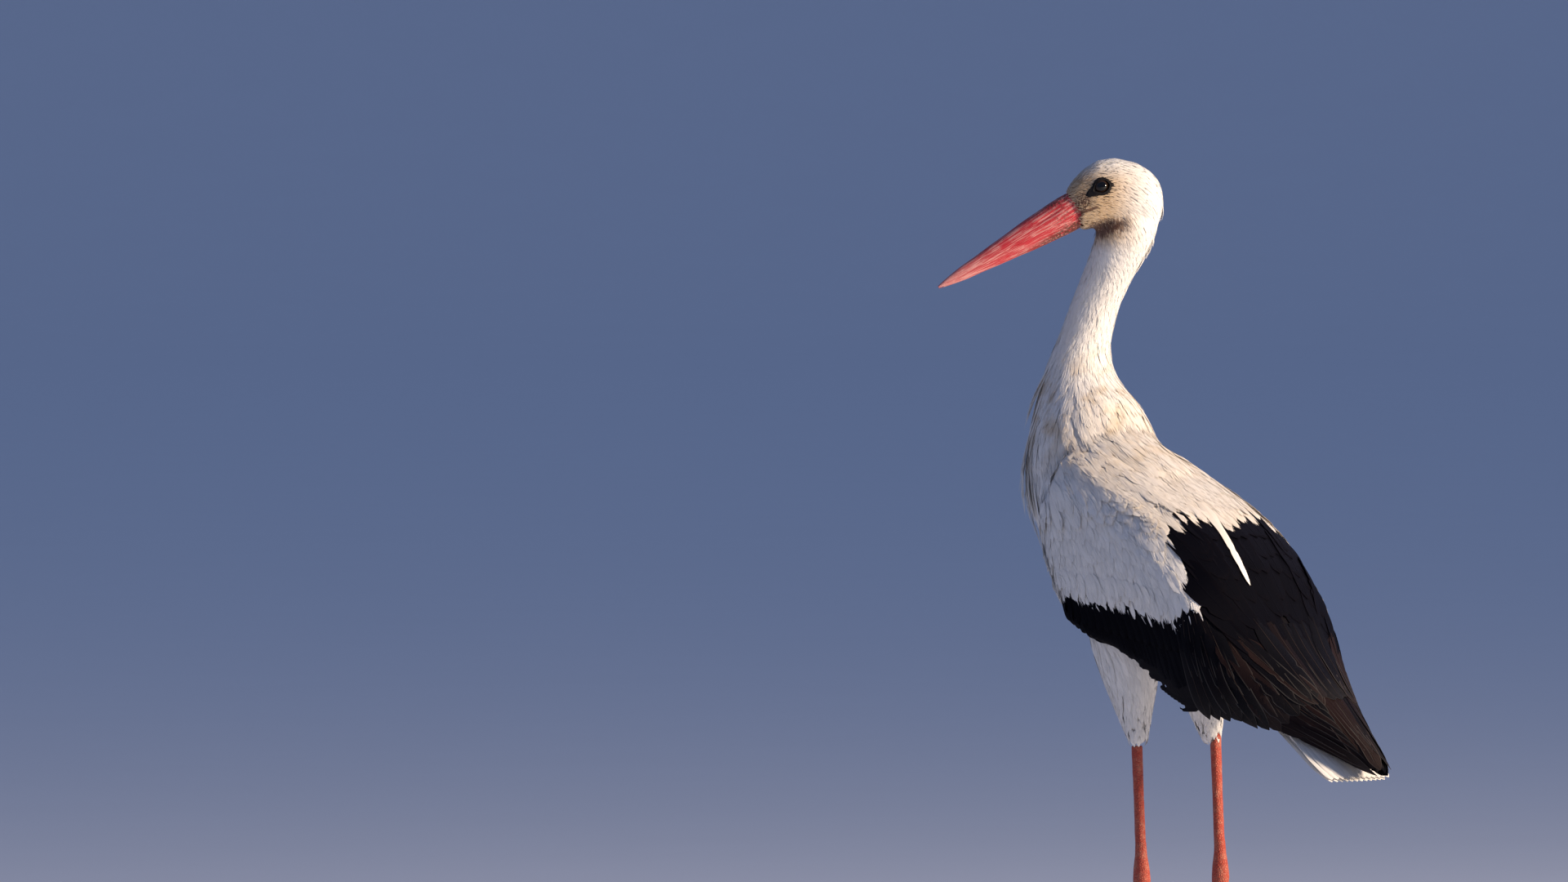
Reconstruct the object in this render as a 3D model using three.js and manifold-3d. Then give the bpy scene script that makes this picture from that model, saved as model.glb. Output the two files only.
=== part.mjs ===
// A white stork at life size, standing still. Its body faces -Y and its head is turned to its left,
// towards +X. Millimetres, +Z up. The origin is on the floor, under the middle of the bird's box.
// Each length of neck, feather tract, limb segment, toe and claw is a closed solid, parted from its
// neighbours by a thin gap.
import * as THREE from "three";
import { mergeVertices } from "three/addons/utils/BufferGeometryUtils.js";
import Module from "manifold-3d";

const wasm = await Module();
wasm.setup();

// ---- driving dimensions ----
const GAP = 0.35; // left between neighbouring pieces
const MIDLINE = 1.2; // half the gap between the left and the right wing

const HEAD_TURN = THREE.MathUtils.degToRad(50); // the head's turn to the left
const SKULL = new THREE.Vector3(14, -40, 985); // middle of the skull
const BILL_PITCH = THREE.MathUtils.degToRad(29.7); // below the level
const BILL = { forward: 52.5, up: -25.4, length: 158, depth: 19.2, width: 13.5, parting: 0.12 };
const EYE = { forward: 12.7, up: 6, side: 18.6, radius: 8.4 };

const WRIST_Y = -80; // front edge of the folded wing
const WING_TIP_Y = 378;
const WING_THICKNESS = { shoulder: 14, tip: 7, edge: 3 };
const WING_CLEARANCE = 60; // how far outside the wing its cutter reaches
const FAR_SIDE = 170; // further from the midline than any wing
const TAIL = { base: [214, 440], tip: [345, 361], half: [24, 44], thick: [12, 2.4], arch: 0.16, feathers: 6 };

// planes that part the neck and the body: a point in y and z, and the way to the part above
const CUTS = {
  belowNeck: { point: [-100, 762], way: [-0.12, 1] },
  lowNeck: { point: [-103, 826], way: [0.3, 1] },
  midNeck: { point: [-66, 893], way: [0.6, 1] },
  behindBreast: { point: [-58, 640], way: [0.82, -0.57] },
};

const LEG = { x: 49, knee: [46, 420], heel: [56, 243], foot: [38, 15], stride: 9 };
const HEEL_HALVES = [8.2, 10.5, 14];
const FOOT_HALVES = [8.6, 9.5, 12];
const SHANK_HALVES = { top: [6, 7], bottom: [5.6, 6.6] };
const TARSUS_HALVES = { top: [5.4, 7], bottom: [5.2, 6.4] };
const TOES = {
  inner: { length: 62, angle: 40 },
  middle: { length: 80, angle: 3 },
  outer: { length: 68, angle: -34 },
  hind: { length: 30, angle: 172 },
};
const TOE_RADIUS = 6.2;
const HIND_TOE_SHARE = 0.8; // size of the short hind toe beside the others
const CLAW = { length: 13, radius: 3.3 };

// ---- sections: each row is one station, joined by smooth curves ----
// trunk, from the breast to the tail root: y, z, half depth, half width
const TRUNK_ROWS = [
  [-141, 706, 32, 34],
  [-117, 688, 60, 62],
  [-82, 662, 82, 79],
  [-33, 626, 94, 88],
  [20, 583, 92, 91],
  [75, 545, 87, 92],
  [125, 516, 77, 87],
  [170, 490, 61, 76],
  [212, 463, 44, 60],
  [256, 436, 22, 36],
];
// neck, from its root to the skull: y, z, half depth, half width, share of the head's turn
const NECK_ROWS = [
  [-84, 664, 72, 78, 0],
  [-90, 706, 70, 71, 0],
  [-102, 738, 62, 60, 0],
  [-110, 768, 47, 46, 0],
  [-110, 796, 36, 35, 0],
  [-103, 822, 28, 28.5, 0],
  [-95, 841, 26, 26.5, 0.05],
  [-83, 866, 25, 25, 0.15],
  [-66, 894, 25.5, 25, 0.35],
  [-49, 918, 28, 26, 0.65],
  [-36, 942, 32, 26, 0.9],
  [-29, 966, 35, 24, 1],
];
// head, from the nape to the root of the bill: forward, up, half height, half width
const HEAD_ROWS = [
  [-54, -12, 12, 9],
  [-50, -11, 21, 15],
  [-42, -8, 28.5, 20.5],
  [-30, -4, 33, 24],
  [-12, 0, 35.5, 26.5],
  [8, 0, 36.5, 26.5],
  [22, -4, 36, 24],
  [36, -10, 31.5, 18.5],
  [46, -14.5, 24, 13.5],
  [55, -17, 12, 9],
];
// bill, from root to tip: share of the length, then half depth and half width as shares of the root's
const BILL_ROWS = [
  [-0.12, 1.0, 1.04],
  [0.0, 1.02, 1.0],
  [0.16, 0.93, 0.88],
  [0.29, 0.84, 0.77],
  [0.42, 0.71, 0.66],
  [0.55, 0.6, 0.55],
  [0.68, 0.47, 0.44],
  [0.805, 0.37, 0.33],
  [0.93, 0.19, 0.19],
  [1.0, 0.05, 0.06],
];
// folded wing: y, height of the back, half width, height of the lower edge
const WING_ROWS = [
  [-80, 718, 84, 606],
  [-66, 717, 93, 590],
  [-47, 716, 99, 571],
  [-33, 713, 101, 548],
  [-16, 707, 102, 522],
  [0, 699, 103, 508],
  [37, 683, 104, 499],
  [75, 664, 104, 479],
  [105, 648, 103, 459],
  [130, 633, 102, 434],
  [150, 617, 101, 424],
  [178, 589, 99, 423],
  [205, 551, 92, 420],
  [232, 514, 77, 416],
  [265, 481, 56, 407],
  [300, 449, 38, 396],
  [335, 418, 23, 384],
  [378, 379, 8, 364],
];
// feathered thigh, from the flank down: y, z, half depth, half width
const THIGH_ROWS = [
  [20, 548, 54, 36],
  [24, 520, 53, 36],
  [27, 490, 46, 33],
  [32, 460, 35, 27],
  [38, 428, 23, 19],
  [44, 400, 13, 12],
  [47, 386, 8.5, 8.5],
];
// toe: share of the length, height of the centre, radius, both as shares of TOE_RADIUS
const TOE_ROWS = [
  [0.0, 1.9, 1.0],
  [0.16, 1.25, 1.12],
  [0.32, 0.82, 0.98],
  [0.45, 0.78, 0.92],
  [0.58, 0.8, 0.95],
  [0.7, 0.68, 0.78],
  [0.82, 0.68, 0.8],
  [1.0, 0.5, 0.6],
];

// ---- curves ----
// A smooth curve through rows of numbers, run by the rows' own first column or by their order.
function smooth(rows, byFirst = false) {
  const at = rows.map((row, i) => (byFirst ? row[0] : i));
  const slope = (i, k) => {
    const a = Math.max(i - 1, 0);
    const b = Math.min(i + 1, rows.length - 1);
    return (rows[b][k] - rows[a][k]) / (at[b] - at[a]);
  };
  return (t) => {
    let i = 0;
    while (i < rows.length - 2 && t > at[i + 1]) {
      i++;
    }
    const span = at[i + 1] - at[i];
    const u = THREE.MathUtils.clamp((t - at[i]) / span, 0, 1);
    const here = (1 + 2 * u) * (1 - u) ** 2;
    const next = u * u * (3 - 2 * u);
    const leave = u * (1 - u) ** 2 * span;
    const arrive = u * u * (u - 1) * span;
    return rows[i].map(
      (value, k) => here * value + next * rows[i + 1][k] + leave * slope(i, k) + arrive * slope(i + 1, k),
    );
  };
}

const { lerp, smoothstep } = THREE.MathUtils;
const vector = (x, y, z) => new THREE.Vector3(x, y, z);
const zUp = vector(0, 0, 1);

// ---- solids ----
// Moves every vertex of a closed geometry to where place sends its two map coordinates.
function wrapped(geometry, place) {
  const position = geometry.getAttribute("position");
  const uv = geometry.getAttribute("uv");
  for (let i = 0; i < position.count; i++) {
    const to = place(uv.getX(i), uv.getY(i));
    position.setXYZ(i, to.x, to.y, to.z);
  }
  return geometry;
}

// Moves every vertex of a closed geometry to where place sends its position.
function shaped(geometry, place) {
  const position = geometry.getAttribute("position");
  const from = new THREE.Vector3();
  for (let i = 0; i < position.count; i++) {
    const to = place(from.fromBufferAttribute(position, i));
    position.setXYZ(i, to.x, to.y, to.z);
  }
  return geometry;
}

// A closed body along a spine. ringAt(s) gives a ring's centre, its side and up axes and its two half sizes.
// rounded gives the share of the length over which each end closes.
function loft(ringAt, around, along, rounded) {
  return wrapped(new THREE.SphereGeometry(1, around, along), (u, v) => {
    const row = Math.round((1 - v) * along);
    const s = (1 - Math.cos((Math.PI * row) / along)) / 2;
    const pole = row === 0 || row === along;
    const ring = ringAt(s);
    const start = Math.sqrt(1 - (1 - Math.min(s / rounded[0], 1)) ** 2);
    const end = Math.sqrt(1 - (1 - Math.min((1 - s) / rounded[1], 1)) ** 2);
    const reach = pole ? 0 : Math.min(start, end);
    const angle = u * 2 * Math.PI;
    return ring.centre
      .clone()
      .addScaledVector(ring.side, reach * ring.half[0] * Math.sin(angle))
      .addScaledVector(ring.up, reach * ring.half[1] * Math.cos(angle));
  });
}

// Rings square to a curve in a plane of constant x, from rows of y, z, half depth, half width and twist.
function sagittalLoft(rows, x, around, along, rounded, grow = 0) {
  const curve = smooth(rows);
  const last = rows.length - 1;
  return loft(
    (s) => {
      const [y, z, depth, width, twist = 0] = curve(s * last);
      const before = curve(Math.max(s * last - 0.05, 0));
      const after = curve(Math.min(s * last + 0.05, last));
      const way = vector(0, after[0] - before[0], after[1] - before[1]).normalize();
      const turned = vector(Math.cos(twist * HEAD_TURN), Math.sin(twist * HEAD_TURN), 0);
      const up = new THREE.Vector3().crossVectors(way, turned).normalize();
      const side = new THREE.Vector3().crossVectors(up, way);
      return { centre: vector(x, y, z), side, up, half: [width + grow, depth + grow] };
    },
    around,
    along,
    rounded,
  );
}

function solid(geometry) {
  const bare = geometry.clone();
  bare.deleteAttribute("normal");
  bare.deleteAttribute("uv");
  const merged = mergeVertices(bare, 1e-4);
  const vertProperties = new Float32Array(merged.getAttribute("position").array);
  const triVerts = new Uint32Array(merged.index.array);
  const made = new wasm.Manifold(new wasm.Mesh({ numProp: 3, vertProperties, triVerts }));
  if (made.volume() > 0) {
    return made;
  }
  return new wasm.Manifold(new wasm.Mesh({ numProp: 3, vertProperties, triVerts: triVerts.reverse() }));
}

function geometryOf(made) {
  const mesh = made.getMesh();
  const points = new Float32Array(mesh.numVert * 3);
  for (let i = 0; i < mesh.numVert; i++) {
    points.set(mesh.vertProperties.subarray(i * mesh.numProp, i * mesh.numProp + 3), i * 3);
  }
  const geometry = new THREE.BufferGeometry();
  geometry.setAttribute("position", new THREE.BufferAttribute(points, 3));
  geometry.setIndex(new THREE.BufferAttribute(new Uint32Array(mesh.triVerts), 1));
  return geometry;
}

function mirrored(made) {
  return solid(geometryOf(made).scale(-1, 1, 1));
}

// An outline in y and z carried across the bird from x = near to x = far.
function sidePrism(outline, near, far) {
  const shape = new THREE.Shape(outline.map(([y, z]) => new THREE.Vector2(y, z)));
  const slab = new THREE.ExtrudeGeometry(shape, { depth: far - near, bevelEnabled: false });
  const turn = new THREE.Matrix4().makeBasis(vector(0, 1, 0), zUp, vector(1, 0, 0));
  return solid(slab.translate(0, 0, near).applyMatrix4(turn));
}

// A large block that fills the space past a plane, on the side its direction points to.
function beyond(point, direction, offset) {
  const reach = 1500;
  const block = new THREE.BoxGeometry(reach, reach, reach).translate(0, 0, reach / 2 + offset);
  const turn = new THREE.Quaternion().setFromUnitVectors(zUp, direction.clone().normalize());
  return solid(block.applyQuaternion(turn).translate(point.x, point.y, point.z));
}

// Cuts a body in two at a plane and leaves the gap between the halves: first the near part, then the far.
function parted(body, point, direction) {
  const near = body.subtract(beyond(point, direction, -GAP / 2));
  const far = body.subtract(beyond(point, direction.clone().negate(), -GAP / 2));
  return [near, far];
}

// ---- head, bill and eyes ----
const headForward = vector(Math.sin(HEAD_TURN), -Math.cos(HEAD_TURN), 0);
const headSide = vector(Math.cos(HEAD_TURN), Math.sin(HEAD_TURN), 0); // the head's own left

function inHead(forward, up, side = 0) {
  return SKULL.clone()
    .addScaledVector(headForward, forward)
    .addScaledVector(zUp, up)
    .addScaledVector(headSide, side);
}

function headShape(grow = 0) {
  const curve = smooth(HEAD_ROWS);
  const ringAt = (s) => {
    const [forward, up, height, width] = curve(s * (HEAD_ROWS.length - 1));
    return { centre: inHead(forward, up), side: headSide, up: zUp, half: [width + grow, height + grow] };
  };
  return solid(loft(ringAt, 16, 12, [0.12, 0.04]));
}

const billAxis = headForward
  .clone()
  .multiplyScalar(Math.cos(BILL_PITCH))
  .addScaledVector(zUp, -Math.sin(BILL_PITCH));
const billUp = headForward
  .clone()
  .multiplyScalar(Math.sin(BILL_PITCH))
  .addScaledVector(zUp, Math.cos(BILL_PITCH));

function billShape(grow = 0) {
  const curve = smooth(BILL_ROWS);
  const base = inHead(BILL.forward, BILL.up);
  const ringAt = (s) => {
    const [share, depth, width] = curve(s * (BILL_ROWS.length - 1));
    const centre = base.clone().addScaledVector(billAxis, share * BILL.length);
    const half = [width * BILL.width + grow, depth * BILL.depth + grow];
    return { centre, side: headSide, up: billUp, half };
  };
  return solid(loft(ringAt, 12, 10, [0.002, 0.02]));
}

// The cut between the mandibles drops from the gape towards the middle of the tip.
function mandibles(bill) {
  const gape = inHead(BILL.forward, BILL.up).addScaledVector(billUp, -BILL.parting * BILL.depth);
  return parted(bill, gape, billUp.clone().negate());
}

function eyeShape(side, grow = 0) {
  const centre = inHead(EYE.forward, EYE.up, side * EYE.side);
  return solid(new THREE.SphereGeometry(EYE.radius + grow, 10, 6).translate(centre.x, centre.y, centre.z));
}

// ---- folded wing ----
// A point of the outer face. down runs from 0 on the midline of the back to 1 at the lower edge.
const wingRow = smooth(WING_ROWS, true);
const ROOF = 0.46; // share of down that lies on the rounded roof
function wingFace(y, down) {
  const [, back, width, lower] = wingRow(y);
  const rise = Math.min(80, 0.6 * (back - lower));
  if (down < ROOF) {
    const angle = ((down / ROOF) * Math.PI) / 2;
    const across = MIDLINE + (width - MIDLINE) * Math.sin(angle) ** 0.74;
    return vector(across, y, back - rise + rise * Math.cos(angle) ** 0.74);
  }
  const fall = (down - ROOF) / (1 - ROOF);
  const lean = 0.2 * width * smoothstep(y, -20, 140);
  return vector(width - lean * fall ** 1.6, y, lerp(back - rise, lower, fall));
}

function wingNormal(y, down) {
  const step = 0.01;
  const inside = THREE.MathUtils.clamp(down, step, 1 - 2 * step);
  const here = wingFace(y, inside);
  const behind = wingFace(y + 2, inside).sub(here);
  const below = wingFace(y, inside + step).sub(here);
  return below.cross(behind).normalize();
}

function wingThickness(y, down) {
  const { shoulder, tip, edge } = WING_THICKNESS;
  const body = lerp(shoulder, tip, smoothstep(y, 60, 300));
  const thin = smoothstep(down, 0.62, 1) * smoothstep(y, -60, 60);
  return lerp(body, edge, thin) * lerp(0.55, 1, smoothstep(y, WRIST_Y, -30));
}

// The whole left wing as a curved slab. out and grow make the cutter that clears its place in the trunk.
function wingShape(out = 0, grow = 0) {
  const slab = new THREE.BoxGeometry(1, 1, 1, 14, 8, 1);
  return solid(
    shaped(slab, (unit) => {
      const y = lerp(WRIST_Y - grow, WING_TIP_Y + grow, unit.x + 0.5);
      const down = 0.5 - unit.y;
      const depth = unit.z > 0 ? out : -wingThickness(y, down) - grow;
      const place = wingFace(y, down).addScaledVector(wingNormal(y, down), depth);
      if (down < 0.001) {
        place.x = MIDLINE - 3 * grow;
      }
      if (down > 0.999) {
        place.z -= grow;
      }
      return place;
    }),
  );
}

// Side-view outlines of the feather tracts on the common wing face, as y and z.
const SHIELD_TOP = [[-90, 644], [-60, 656], [-20, 663], [30, 660], [70, 650], [100, 636]];
const SCAPULAR_EDGE = [[127, 613], [145, 596], [163, 577], [183, 555], [193, 541]];
const SHIELD_EDGE = [[181, 531], [152, 537], [112, 541], [85, 549], [30, 552], [-31, 556], [-90, 562]];
const COVERT_EDGE = [[196, 498], [150, 497], [90, 506], [40, 516], [-20, 528], [-90, 536]];
const SCAPULAR_TIPS = [[236, 480], [222, 500], [212, 512], [206, 528]];
const TRACTS = {
  coverts: [...SHIELD_TOP, ...SCAPULAR_EDGE, ...SHIELD_EDGE],
  greater_coverts: [[-90, 562], ...[...SHIELD_EDGE].reverse().slice(1), [193, 541], ...COVERT_EDGE],
  secondaries: [...[...COVERT_EDGE].reverse(), [206, 470], [214, 380], [-90, 380]],
  scapulars: [[100, 636], [98, 760], [280, 760], ...SCAPULAR_TIPS, ...[...SCAPULAR_EDGE].reverse()],
  tertials: [
    [193, 541],
    ...[...SCAPULAR_TIPS].reverse(),
    [280, 760], [300, 760], [262, 440], [256, 380], [214, 380], [206, 470], [196, 498],
  ],
  primaries: [[300, 760], [420, 760], [420, 330], [256, 330], [256, 380], [262, 440]],
};
// the region in front of the scapulars and above the shield, and its part where the slab joins the trunk
const ABOVE_SHIELD = [...SHIELD_TOP, [98, 900], [-90, 900]];
const MANTLE = [...SHIELD_TOP.slice(1), [98, 760], [-44, 760]];

// Pulls an outline in on itself, so that neighbouring tracts stay apart.
function pulledIn(outline, inset) {
  const points = outline.map(([y, z]) => new THREE.Vector2(y, z));
  const hand = Math.sign(THREE.ShapeUtils.area(points));
  const count = points.length;
  return points.map((point, i) => {
    const a = point.clone().sub(points[(i + count - 1) % count]).normalize();
    const b = points[(i + 1) % count].clone().sub(point).normalize();
    const inward = new THREE.Vector2(-(a.y + b.y), a.x + b.x).multiplyScalar(hand);
    const stretch = inset / Math.max(inward.length() / 2, 0.35);
    inward.normalize().multiplyScalar(stretch);
    return [point.x + inward.x, point.y + inward.y];
  });
}

// ---- trunk, neck and tail ----
function trunkShape(grow = 0) {
  return solid(sagittalLoft(TRUNK_ROWS, 0, 18, 12, [0.12, 0.03], grow));
}

function neckShape(grow = 0) {
  return solid(sagittalLoft(NECK_ROWS, 0, 16, 15, [0.02, 0.02], grow));
}

function tailShape() {
  const slab = new THREE.BoxGeometry(1, 1, 1, 1, TAIL.feathers * 4, 1);
  const way = vector(0, TAIL.tip[0] - TAIL.base[0], TAIL.tip[1] - TAIL.base[1]);
  const up = vector(0, -way.z, way.y).normalize();
  return solid(
    shaped(slab, (unit) => {
      const across = unit.y * 2;
      const round = 0.1 * (1 - Math.abs(Math.sin(across * TAIL.feathers * Math.PI * 0.5)));
      const share = (unit.x + 0.5) * (1 - 0.1 * across ** 2 - 0.35 * round);
      const half = lerp(TAIL.half[0], TAIL.half[1], share);
      const thick = lerp(TAIL.thick[0], TAIL.thick[1], share);
      return vector(across * half, TAIL.base[0], TAIL.base[1])
        .addScaledVector(way, share)
        .addScaledVector(up, unit.z * thick - TAIL.arch * half * across ** 2);
    }),
  );
}

// ---- legs ----
function legPlace(side, [y, z]) {
  return vector(side * LEG.x, y - side * LEG.stride, z);
}

// A straight limb between two points, with its half sizes at both ends and a slight waist.
function limb(from, to, { top, bottom }) {
  const way = to.clone().sub(from);
  const side = vector(1, 0, 0);
  const up = new THREE.Vector3().crossVectors(way, side).normalize();
  const ringAt = (s) => {
    const waist = 1 - 0.16 * Math.sin(Math.PI * s);
    const half = [lerp(top[0], bottom[0], s) * waist, lerp(top[1], bottom[1], s) * waist];
    return { centre: from.clone().addScaledVector(way, s), side, up, half };
  };
  return solid(loft(ringAt, 8, 4, [0.01, 0.01]));
}

function ball(centre, halves, grow = 0) {
  const geometry = new THREE.SphereGeometry(1, 8, 5);
  geometry.scale(halves[0] + grow, halves[1] + grow, halves[2] + grow);
  return solid(geometry.translate(centre.x, centre.y, centre.z));
}

// The feathered thigh leans with the stride of its leg.
function thighShape(side, grow = 0) {
  const top = THIGH_ROWS[0][1];
  const reach = top - LEG.heel[1];
  const rows = THIGH_ROWS.map(([y, z, depth, width]) => {
    const swing = (side * LEG.stride * (top - z)) / reach;
    return [y - swing, z, depth, width];
  });
  return solid(sagittalLoft(rows, side * LEG.x, 12, 8, [0.05, 0.05], grow));
}

function toeWay(side, angle) {
  const turn = THREE.MathUtils.degToRad(angle);
  return vector(-side * Math.sin(turn), -Math.cos(turn), 0);
}

// A toe from the middle of the foot to its tip, as an upright-sided row of pads.
function toeShape(foot, side, { length, angle }, grow = 0) {
  const curve = smooth(TOE_ROWS, true);
  const way = toeWay(side, angle);
  const across = new THREE.Vector3().crossVectors(way, zUp);
  const size = (angle > 90 ? HIND_TOE_SHARE : 1) * TOE_RADIUS;
  const ringAt = (s) => {
    const [, height, radius] = curve(s);
    const centre = vector(foot.x, foot.y, height * size).addScaledVector(way, s * length);
    const half = radius * size + grow;
    return { centre, side: across, up: zUp, half: [half, half] };
  };
  return solid(loft(ringAt, 7, 6, [0.02, 0.06]));
}

function clawShape(foot, side, { length, angle }, grow = 0) {
  const way = toeWay(side, angle);
  const across = new THREE.Vector3().crossVectors(way, zUp);
  const small = angle > 90 ? HIND_TOE_SHARE : 1;
  const ringAt = (s) => {
    const reach = length - 5 + s * (CLAW.length + 5) * small;
    const height = lerp(CLAW.radius * 1.1, 0.9, s ** 1.5);
    const half = CLAW.radius * small * (1 - s) ** 0.6 + 0.35;
    const centre = vector(foot.x, foot.y, height).addScaledVector(way, reach);
    return { centre, side: across, up: zUp, half: [half * 0.85 + grow, half + grow] };
  };
  return solid(loft(ringAt, 6, 4, [0.02, 0.05]));
}

// ---- colours ----
const finish = (color, roughness) => new THREE.MeshStandardMaterial({ color, roughness, metalness: 0 });
const WHITE = finish(0xe9e2d6, 0.9);
const BLACK = finish(0x16131a, 0.6);
const BROWN = finish(0x2b201c, 0.7);
const RED = finish(0xb93a38, 0.55);
const LEG_RED = finish(0xb5473a, 0.7);
const EYE_BLACK = finish(0x0c0908, 0.1);
const CLAW_BLACK = finish(0x2a2422, 0.5);

// ---- the bird ----
const stork = new THREE.Group();
function add(name, made, material) {
  const mesh = new THREE.Mesh(geometryOf(made), material.clone());
  mesh.name = name;
  stork.add(mesh);
}

const SIDES = [
  ["left", 1],
  ["right", -1],
];
const bothEyes = eyeShape(1, GAP).add(eyeShape(-1, GAP));
const head = headShape().subtract(billShape(GAP)).subtract(bothEyes);
add("head", head, WHITE);
const [billUpper, billLower] = mandibles(billShape());
add("bill_upper", billUpper, RED);
add("bill_lower", billLower, RED);
for (const [name, side] of SIDES) {
  add(`eye_${name}`, eyeShape(side), EYE_BLACK);
}

const wing = wingShape();
const wingPlace = wingShape(WING_CLEARANCE, GAP);
const mantleHalf = wing.intersect(sidePrism(MANTLE, 0, FAR_SIDE));
const acrossAll = [-WING_CLEARANCE, FAR_SIDE + WING_CLEARANCE];
const tractPlace = wingPlace.subtract(sidePrism(pulledIn(ABOVE_SHIELD, GAP), ...acrossAll));
const wingPlaces = tractPlace.add(mirrored(tractPlace));
const wholeBody = trunkShape().add(neckShape()).add(mantleHalf).add(mirrored(mantleHalf));
const body = wholeBody.subtract(wingPlaces).subtract(headShape(GAP));

const cut = (made, { point, way }) => parted(made, vector(0, ...point), vector(0, ...way));
const [belowNeck, neckAll] = cut(body, CUTS.belowNeck);
const [neckLower, neckRest] = cut(neckAll, CUTS.lowNeck);
const [neckMiddle, neckUpper] = cut(neckRest, CUTS.midNeck);
const [breast, trunkRear] = cut(belowNeck, CUTS.behindBreast);
add("neck_upper", neckUpper, WHITE);
add("neck_middle", neckMiddle, WHITE);
add("neck_lower", neckLower, WHITE);
add("breast", breast, WHITE);
add("trunk", trunkRear, WHITE);

const tail = tailShape().subtract(trunkShape(GAP)).subtract(wingPlaces);
add("tail", tail, WHITE);

const tractColours = { coverts: WHITE, tertials: BROWN, primaries: BROWN };
for (const [tract, outline] of Object.entries(TRACTS)) {
  const piece = wing.intersect(sidePrism(pulledIn(outline, GAP / 2), 0, FAR_SIDE));
  add(`wing_left_${tract}`, piece, tractColours[tract] ?? BLACK);
  add(`wing_right_${tract}`, mirrored(piece), tractColours[tract] ?? BLACK);
}

const floorCut = beyond(vector(0, 0, 0), zUp.clone().negate(), 0);
for (const [name, side] of SIDES) {
  const heel = legPlace(side, LEG.heel);
  const foot = legPlace(side, LEG.foot);
  const thigh = thighShape(side);
  const thighPlace = thighShape(side, GAP);
  add(`thigh_${name}`, thigh.subtract(trunkShape(GAP)).subtract(wingPlaces), WHITE);

  const heelPlace = ball(heel, HEEL_HALVES, GAP);
  const footPlace = ball(foot, FOOT_HALVES, GAP);
  const shank = limb(legPlace(side, LEG.knee), heel, SHANK_HALVES);
  const tarsus = limb(heel, foot, TARSUS_HALVES);
  add(`shank_${name}`, shank.subtract(thighPlace).subtract(heelPlace), LEG_RED);
  add(`heel_${name}`, ball(heel, HEEL_HALVES), LEG_RED);
  add(`tarsus_${name}`, tarsus.subtract(heelPlace).subtract(footPlace), LEG_RED);
  add(`foot_${name}`, ball(foot, FOOT_HALVES).subtract(floorCut), LEG_RED);

  const middlePlace = toeShape(foot, side, TOES.middle, GAP);
  for (const [toe, measure] of Object.entries(TOES)) {
    const claw = clawShape(foot, side, measure);
    const clawPlace = clawShape(foot, side, measure, GAP);
    let piece = toeShape(foot, side, measure).subtract(footPlace).subtract(clawPlace).subtract(floorCut);
    if (toe === "inner" || toe === "outer") {
      piece = piece.subtract(middlePlace);
    }
    add(`toe_${name}_${toe}`, piece, LEG_RED);
    add(`claw_${name}_${toe}`, claw.subtract(floorCut), CLAW_BLACK);
  }
}

// The origin goes under the middle of the whole bird's box, on the floor.
const box = new THREE.Box3().setFromObject(stork);
stork.position.set(-(box.min.x + box.max.x) / 2, -(box.min.y + box.max.y) / 2, -box.min.z);

export default stork;
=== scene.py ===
"""A standing white stork: skin, horn, eyes, legs and every feather, built on the solids of its frame."""

import math
from functools import lru_cache

import bpy
import numpy as np
from bpy.props import FloatProperty, FloatVectorProperty, IntProperty, PointerProperty
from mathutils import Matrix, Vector
from mathutils.bvhtree import BVHTree
from mathutils.kdtree import KDTree


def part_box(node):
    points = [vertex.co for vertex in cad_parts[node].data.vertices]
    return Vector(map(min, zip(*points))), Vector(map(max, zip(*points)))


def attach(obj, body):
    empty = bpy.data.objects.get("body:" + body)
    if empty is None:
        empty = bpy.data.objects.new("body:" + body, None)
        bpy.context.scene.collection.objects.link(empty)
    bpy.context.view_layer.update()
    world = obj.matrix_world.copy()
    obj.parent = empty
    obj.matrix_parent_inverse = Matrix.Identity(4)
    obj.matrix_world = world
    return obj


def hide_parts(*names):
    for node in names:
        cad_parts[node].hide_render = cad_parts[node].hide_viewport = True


bl_info = {
    "name": "White stork",
    "version": (1, 0, 0),
    "blender": (4, 5, 0),
    "location": "3D View > Sidebar > Stork",
    "description": "Builds a life-size white stork, feather by feather",
    "category": "Add Mesh",
}

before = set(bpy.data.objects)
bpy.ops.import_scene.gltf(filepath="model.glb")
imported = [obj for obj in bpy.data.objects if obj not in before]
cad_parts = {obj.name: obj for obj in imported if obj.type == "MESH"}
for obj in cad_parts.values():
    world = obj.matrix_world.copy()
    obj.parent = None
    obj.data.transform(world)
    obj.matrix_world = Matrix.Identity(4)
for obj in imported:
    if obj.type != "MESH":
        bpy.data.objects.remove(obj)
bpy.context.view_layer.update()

MM = 0.001
SIDES = (("left", 1), ("right", -1))
TOES = ("inner", "middle", "outer", "hind")


# ---- where things are ----
def middle(node):
    low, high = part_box(node)
    return (low + high) / 2


MIDLINE = (middle("wing_left_coverts").x + middle("wing_right_coverts").x) / 2
STANCE = (middle("foot_left").y + middle("foot_right").y) / 2
FEET = Vector((MIDLINE, STANCE, 0.0))  # on the floor, between the feet
BACKWARD = Vector((0.0, 1.0, 0.0))
LEFTWARD = Vector((1.0, 0.0, 0.0))
UP = Vector((0.0, 0.0, 1.0))

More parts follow.
